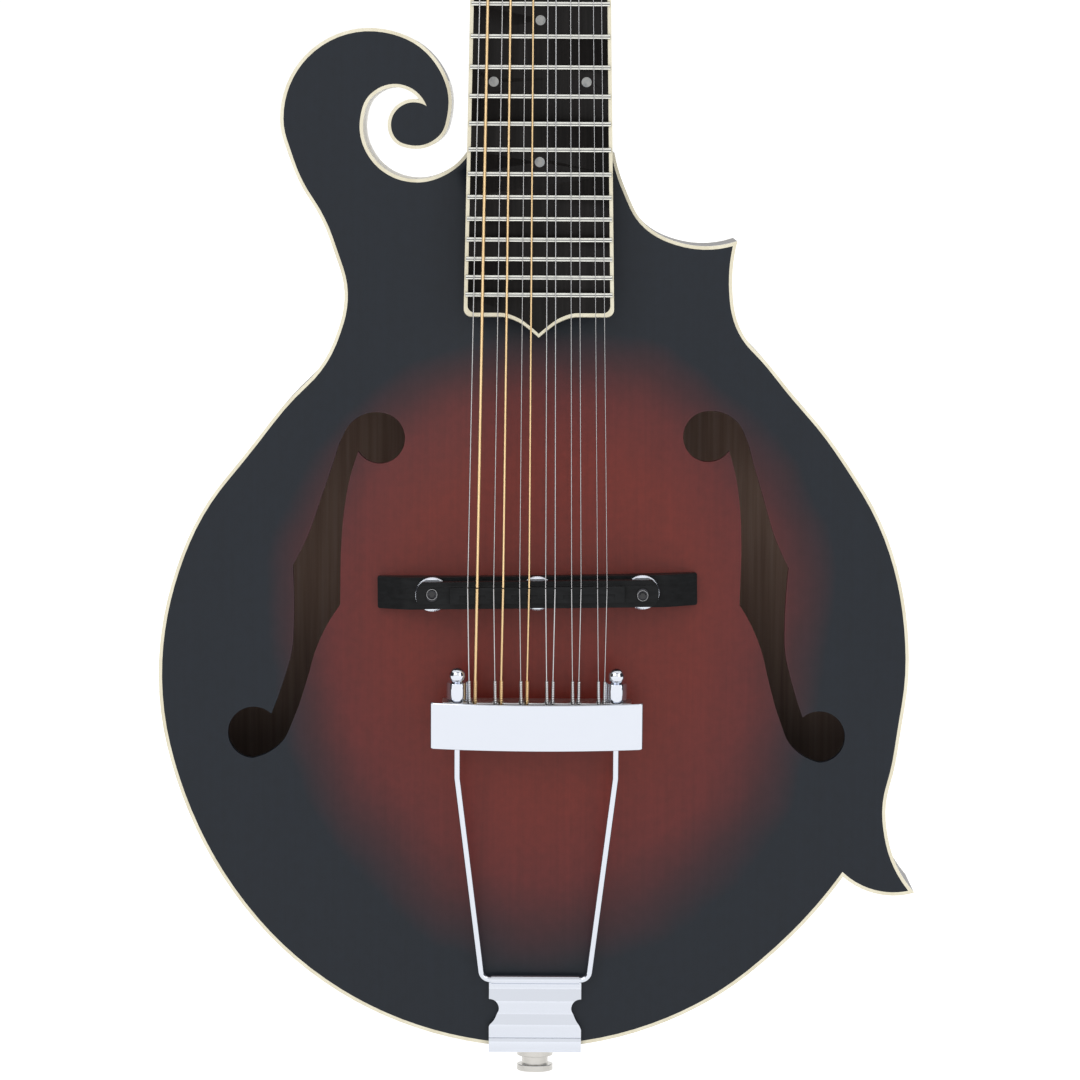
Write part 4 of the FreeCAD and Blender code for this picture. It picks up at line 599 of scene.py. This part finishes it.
# ---- Surfaces from formulas --------------------------------------------------------------------
def surface(name, points, crease=40.0):
    """A closed skin over a grid of points, round in its second direction.

    A ring whose points all meet, or a last ring that lies on the first, closes it.
    """
    rows, columns = points.shape[:2]
    i, j = np.meshgrid(np.arange(rows - 1), np.arange(columns), indexing="ij")
    k = (j + 1) % columns
    faces = np.stack([i * columns + j, i * columns + k, (i + 1) * columns + k, (i + 1) * columns + j], -1)
    mesh = bpy.data.meshes.new(name)
    mesh.from_pydata(points.reshape(-1, 3).tolist(), [], faces.reshape(-1, 4).tolist())
    work = bmesh.new()
    work.from_mesh(mesh)
    bmesh.ops.remove_doubles(work, verts=work.verts, dist=1e-7)
    bmesh.ops.recalc_face_normals(work, faces=work.faces)
    work.to_mesh(mesh)
    work.free()
    mesh.polygons.foreach_set("use_smooth", [True] * len(mesh.polygons))
    mesh.set_sharp_from_angle(angle=math.radians(crease))
    return object_of(name, mesh)


def joined(name, parts):
    """Several pieces made one, as a group of separate shells."""
    work = bmesh.new()
    for part in parts:
        work.from_mesh(part.data)
        bpy.data.objects.remove(part)
    mesh = bpy.data.meshes.new(name)
    work.to_mesh(mesh)
    work.free()
    mesh.set_sharp_from_angle(angle=math.radians(40.0))
    return object_of(name, mesh)


def frame_about(axis, hint=(0, 0, 1)):
    """Two unit directions across an axis, the first as near to the hint as it can be."""
    axis = np.array(axis, float) / np.linalg.norm(axis)
    first = np.array(hint, float) - axis * np.dot(hint, axis)
    if np.linalg.norm(first) < 1e-6:
        first = np.array((1.0, 0.0, 0.0)) - axis * axis[0]
    first /= np.linalg.norm(first)
    return axis, first, np.cross(axis, first)


def turning(centre, axis, heights, radii):
    """Rings about an axis: heights is one value a ring, radii one value for each ring and angle."""
    axis, first, second = frame_about(axis)
    angles = np.arange(radii.shape[1]) * 2 * np.pi / radii.shape[1]
    spokes = np.cos(angles)[:, None] * first + np.sin(angles)[:, None] * second
    return np.array(centre) + heights[:, None, None] * axis + radii[:, :, None] * spokes[None]


# ---- Bridge wheels -----------------------------------------------------------------------------
WHEEL_TEETH = 60
WHEEL_TOOTH = 0.00016
WHEEL_EASE = 0.00035
POST_HOLE = 0.00205


def knurled_wheel(node):
    """A disc with a bore, eased rims and an edge that rises and falls once for each tooth."""
    low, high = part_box(node)
    centre = (low + high) / 2
    radius = (high.x - low.x) / 2
    half = (high.y - low.y) / 2
    angles = np.arange(WHEEL_TEETH * 4) * 2 * np.pi / (WHEEL_TEETH * 4)
    tooth = radius - WHEEL_TOOTH * (0.5 - 0.5 * np.cos(WHEEL_TEETH * angles))
    flat = np.full(len(angles), radius - WHEEL_EASE - WHEEL_TOOTH)
    bore = np.full(len(angles), POST_HOLE)
    heights = np.array([-half, -half, -half + WHEEL_EASE, half - WHEEL_EASE, half, half, -half])
    radii = np.stack([bore, flat, tooth, tooth, flat, bore, bore])
    wheel = surface(node + "_knurled", turning(centre, (0, -1, 0), heights, radii), 30.0)
    settle(wheel, SLOT_OF[node], BODY_OF[node], None, node)


for wheel in ("thumbwheel_bass", "thumbwheel_middle", "thumbwheel_treble"):
    knurled_wheel(wheel)


# ---- Post heads --------------------------------------------------------------------------------
POST_HEAD_RING = (0.00170, 0.00200)
SOCKET_RADIUS = 0.00105
HEAD_LIFT, HEAD_DEPTH = 0.00006, 0.0003
RIM_EASE = 0.0001


def post_heads():
    """A worn bright rim and a black six-sided socket on the end of each post; the socket is a flat black hexagon,
    painted shade where the recess would be.
    """
    low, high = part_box("bridge_posts")
    rims, socket_shades = [], []
    for x in (low.x + POST_HEAD_RING[1], high.x - POST_HEAD_RING[1]):
        centre = np.array((x, low.y, (low.z + high.z) / 2))
        angles = np.arange(72) * 2 * np.pi / 72
        round_ = np.ones(72)
        inner, outer = POST_HEAD_RING
        heights = np.array([-HEAD_DEPTH, HEAD_LIFT, HEAD_LIFT, -HEAD_DEPTH, -HEAD_DEPTH])
        radii = np.stack([round_ * inner, round_ * (inner + RIM_EASE), round_ * (outer - RIM_EASE),
                          round_ * outer, round_ * inner])
        rims.append(surface("rim", turning(centre, (0, -1, 0), heights, radii), 20.0))
        # painted shade: a flat black hexagon stands where the socket's recess would be
        wedge = (angles + np.pi / 6) % (np.pi / 3) - np.pi / 6
        hexagon = SOCKET_RADIUS * math.cos(math.pi / 6) / np.cos(wedge)
        heights = np.array([-HEAD_DEPTH, -HEAD_DEPTH, HEAD_LIFT, HEAD_LIFT])
        radii = np.stack([hexagon * 0, hexagon, hexagon, hexagon * 0])
        socket_shades.append(surface("socket", turning(centre, (0, -1, 0), heights, radii), 20.0))
    body = BODY_OF["bridge_posts"]
    settle(joined("post_rims", rims), SLOT_OF["bridge_posts"], body, FINISHES["steel"])
    settle(joined("post_socket_shades", socket_shades), SLOT_OF["bridge_posts"], body, FINISHES["black_plastic"])


post_heads()


# ---- The tailpiece -----------------------------------------------------------------------------
HINGE = Vector(JOINTS["tailpiece_hinge"]["pos_m"])
STRING_HEIGHT = 0.0343
TAIL_ANGLE = math.atan2(STRING_HEIGHT + HINGE.y, SADDLE_LINE - HINGE.z)
ALONG_TAIL = np.array((0.0, -math.sin(TAIL_ANGLE), math.cos(TAIL_ANGLE)))
OFF_TAIL = np.array((0.0, -math.cos(TAIL_ANGLE), -math.sin(TAIL_ANGLE)))
COVER_HALF = 0.0383
COVER_LOW, COVER_HIGH = 0.1128, 0.1298      # heights up the body
COVER_EDGE, COVER_SAG, COVER_WALL = 0.0044, 0.0026, 0.0009
COVER_LIP, COVER_TURN = 0.0034, 0.0017
COVER_EASE = 0.0003


def tail_point(x, lift, along):
    """A point of the tailpiece: across, off the string plane and along it from the hinge."""
    return np.array(HINGE) + np.array((x, 0, 0)) + OFF_TAIL * lift + ALONG_TAIL * along


def tail_reach(z):
    return (z - HINGE.z) / math.cos(TAIL_ANGLE)


def cover_profile(inset):
    """Across the cover: a shallow arc, a round turn at each end and a short lip.

    The inset is measured inwards from the outer face.
    """
    turn = COVER_HALF - COVER_TURN
    x = np.linspace(-turn, turn, 33)
    sag = COVER_EDGE + COVER_SAG * (1 - (x / turn) ** 2) - inset
    bend = np.linspace(0, np.pi / 2, 8)[1:]
    radius = COVER_TURN - inset
    right = np.stack([turn + radius * np.sin(bend), COVER_EDGE - COVER_TURN + radius * np.cos(bend)], 1)
    end = np.array([[right[-1, 0], COVER_EDGE - COVER_LIP]])
    crown = np.stack([x, sag], 1)
    half = np.concatenate([right, end])
    return np.concatenate([(half * (-1, 1))[::-1], crown, half])


def tailpiece_cover():
    """The profile carried along the tail, its skin closed at both ends."""
    ring = np.concatenate([cover_profile(0.0), cover_profile(COVER_WALL)[::-1]])
    low, high = tail_reach(COVER_LOW), tail_reach(COVER_HIGH)
    rows = []
    for along in (low, high):
        rows.append([tail_point(x, lift, along) for x, lift in ring])
    count = len(cover_profile(0.0))
    mesh = bpy.data.meshes.new("tailpiece_cover_sheet")
    total = len(ring)
    faces = [(j, (j + 1) % total, total + (j + 1) % total, total + j) for j in range(total)]
    for start in (0, total):
        faces += [(start + j, start + total - 1 - j, start + total - 2 - j, start + j + 1)
                  for j in range(count - 1)]
    mesh.from_pydata([p.tolist() for row in rows for p in row], [], faces)
    work = bmesh.new()
    work.from_mesh(mesh)
    bmesh.ops.recalc_face_normals(work, faces=work.faces)
    work.to_mesh(mesh)
    work.free()
    mesh.polygons.foreach_set("use_smooth", [True] * len(mesh.polygons))
    mesh.set_sharp_from_angle(angle=math.radians(35))
    cover = object_of("tailpiece_cover_sheet", mesh)
    edge = cover.modifiers.new("edge", "BEVEL")
    edge.width, edge.segments, edge.limit_method, edge.angle_limit = COVER_EASE, 2, "ANGLE", math.radians(50)
    settle(cover, SLOT_OF["tailpiece_cover"], BODY_OF["tailpiece_cover"], None,
           "tailpiece_cover")


NUT_X = 0.0286
NUT_ACROSS, NUT_LENGTH, NUT_CHAMFER = 0.0068, 0.0070, 0.0005
BALL_RADIUS, BALL_CENTRE, NUT_NECK = 0.00295, 0.0093, 0.0019
BAR_TOP = 0.1296


def cap_nut(x):
    """Rings about the wire: a hexagon with turned corners, a neck, then a ball."""
    angles = np.arange(72) * 2 * np.pi / 72
    wedge = (angles + np.pi / 6) % (np.pi / 3) - np.pi / 6
    hexagon = NUT_ACROSS / 2 / np.cos(wedge)
    turned = np.minimum(hexagon, NUT_ACROSS / 2 + 0.0001)
    round_ = np.ones(72)
    rows = [(0.0, round_ * 0.0), (0.0, turned), (NUT_CHAMFER, hexagon),
            (NUT_LENGTH - NUT_CHAMFER, hexagon), (NUT_LENGTH, turned),
            (NUT_LENGTH, round_ * NUT_NECK * 1.25), (NUT_LENGTH + 0.0002, round_ * NUT_NECK)]
    start = -math.acos(NUT_NECK / BALL_RADIUS)
    for angle in np.linspace(start, math.pi / 2, 16):
        rows.append((BALL_CENTRE + BALL_RADIUS * math.sin(angle), round_ * BALL_RADIUS * math.cos(angle)))
    heights = np.array([row[0] for row in rows])
    radii = np.stack([row[1] for row in rows])
    return surface("nut", turning(tail_point(x, 0.0, tail_reach(BAR_TOP)), ALONG_TAIL, heights, radii), 25.0)


tailpiece_cover()
settle(joined("cap_nuts", [cap_nut(-NUT_X), cap_nut(NUT_X)]), "chrome", "tailpiece", None, "acorn_nuts")


# ---- Frets, string loops and windings ----------------------------------------------------------
NECK_ANGLE = math.radians(4.6)


def mark_flanks():
    """Each fret's distance from its own middle along the neck: nought on top, one at its edge."""
    mesh = bpy.data.objects["frets_finished"].data
    corners = corners_of(mesh)
    along = corners @ np.array((0.0, -math.sin(NECK_ANGLE), math.cos(NECK_ANGLE)))
    part = islands(mesh, 2)
    flank = np.zeros(len(corners))
    for number in range(part.max() + 1):
        chosen = part == number
        low, high = along[chosen].min(), along[chosen].max()
        flank[chosen] = np.abs(along[chosen] - (low + high) / 2) / ((high - low) / 2)
    # the fret finish paints its reflection bands by this measure
    attribute = mesh.attributes.new("flank", "FLOAT", "POINT")
    attribute.data.foreach_set("value", flank.astype(np.float32))


LOOP_START = 0.0070         # from the hooked end to where the wrap shows
LOOP_LENGTH = 0.0085
LOOP_TWISTS = 5.0


def twisted_loop(start, way, radius):
    """Two wires wrapped on each other: a tube whose two-lobed section turns along it, closed to a point."""
    rows, sides = 61, 16
    share = np.linspace(0, 1, rows)
    angles = np.arange(sides) * 2 * np.pi / sides
    lobes = 1 + 0.28 * np.cos(2 * (angles[None] - share[:, None] * 2 * np.pi * LOOP_TWISTS))
    ends = np.where((share > 0) & (share < 1), 1.0, 0.0)
    return surface("loop", turning(start, way, share * LOOP_LENGTH, radius * lobes * ends[:, None]), 60.0)


def string_loops():
    """The wrapped end of every string where it comes out of the bar."""
    mesh = bpy.data.objects["string_tails_finished"].data
    corners = corners_of(mesh)
    part = islands(mesh)
    groups = {"plain_string": [], "wound_string": []}
    for number in range(part.max() + 1):
        own = corners[part == number]
        low = own[own[:, 2] < own[:, 2].min() + 0.0008].mean(0)
        high = own[own[:, 2] > own[:, 2].max() - 0.0008].mean(0)
        way = (high - low) / np.linalg.norm(high - low)
        thick = 0.00062 if number in WOUND_TAILS else 0.00052
        start = low + way * LOOP_START
        slot = "wound_string" if number in WOUND_TAILS else "plain_string"
        groups[slot].append(twisted_loop(start, way, thick))
    for slot, loops in groups.items():
        settle(joined("loops_" + slot, loops), slot, "tailpiece", None)


WINDING_TURNS = 3.5
WINDING_LIFT = 0.0099       # the string's hole above the headstock's wood
WAIST_RADIUS = 0.0025
COIL_RINGS, COIL_SIDES = 85, 8
STRING_DIAMETERS = (0.45, 1.15, 0.36, 0.90, 0.30, 0.70,
                    0.42, 0.42, 0.32, 0.32, 0.26, 0.26)      # in millimetres, bass to treble


def post_windings():
    """The string's turns round the waist of each post: a wire on a helix, closed at both ends."""
    for number in range(1, 13):
        joint = JOINTS[f"post_{number:02d}_turn"]
        index = number - 1 if number <= 6 else 18 - number
        radius = STRING_DIAMETERS[index] * MM / 2
        axis, first, second = frame_about(joint["axis"])
        turns = np.linspace(0, 2 * np.pi * WINDING_TURNS, COIL_RINGS)
        climb = (turns / (2 * np.pi) - WINDING_TURNS / 2) * max(2.1 * radius, 0.0004)
        reach = WAIST_RADIUS + radius
        middle = np.array(joint["pos_m"]) + axis * WINDING_LIFT
        out = np.cos(turns)[:, None] * first + np.sin(turns)[:, None] * second
        line = middle + reach * out + climb[:, None] * axis
        angles = np.arange(COIL_SIDES) * 2 * np.pi / COIL_SIDES
        number_of = np.arange(COIL_RINGS)
        tips = np.where((number_of > 0) & (number_of < COIL_RINGS - 1), radius, 0.0)
        ring = np.cos(angles)[None, :, None] * out[:, None] + np.sin(angles)[None, :, None] * axis
        coil = surface(f"winding_{number:02d}", line[:, None] + ring * tips[:, None, None], 60.0)
        slot = "wound_string" if index in WOUND_TAILS else "plain_string"
        settle(coil, slot, f"post_{number:02d}", None)


mark_flanks()
string_loops()
post_windings()


CARDS = (((-1.5, 0.0, 0.35), (2.2, 1.6)),
         ((1.5, 0.0, 0.35), (2.2, 1.6)),
         ((0.0, -2.2, 2.6), (3.4, 0.45)))       # the middle of each, then its width and height


def dark_cards():
    """Dark cards that the camera doesn't see, which give the plated parts something dark to reflect."""
    paint = Finish("card", (0.02, 0.02, 0.025), 0.9).material
    for number, (place, (width, height)) in enumerate(CARDS):
        place = Vector(place)
        turn = (Vector((0, 0, 0.2)) - place).to_track_quat("Z", "Y").to_matrix()
        corners = [place + turn @ Vector((x * width / 2, y * height / 2, 0))
                   for x, y in ((-1, -1), (1, -1), (1, 1), (-1, 1))]
        mesh = bpy.data.meshes.new(f"card_{number}")
        mesh.from_pydata([corner[:] for corner in corners], [], [(0, 1, 2, 3)])
        mesh.materials.append(paint)
        card = object_of(f"card_{number}", mesh)
        card.visible_camera = False


def stage():
    low = CAD_BOX[0][2] - FLOOR_CLEARANCE
    half = FLOOR_SIZE / 2
    mesh = bpy.data.meshes.new("floor")
    corners = [(-half, -half, low), (half, -half, low), (half, half, low), (-half, half, low)]
    mesh.from_pydata(corners, [], [(0, 1, 2, 3)])
    floor = object_of("floor", mesh)
    paint = Finish("pale_floor", (0.30, 0.30, 0.30), 0.9, Specular_IOR_Level=0.0,
                   Emission_Color=(1.0, 1.0, 1.0, 1.0), Emission_Strength=0.96)
    mesh.materials.append(paint.material)
    world = bpy.data.worlds.new("studio")
    world.use_nodes = True
    world.node_tree.nodes["Background"].inputs["Color"].default_value = (1.0, 1.0, 1.0, 1.0)
    world.node_tree.nodes["Background"].inputs["Strength"].default_value = 1.07
    bpy.context.scene.world = world
    bpy.context.scene.view_settings.view_transform = "Standard"
    area_light("key", (-1.2, -2.2, 1.6), (0, 0, 0.2), (1.4, 1.4), 16.0)
    area_light("fill", (1.6, -1.8, 1.0), (0, 0, 0.2), (1.2, 1.8), 8.0)
    dark_cards()


stage()
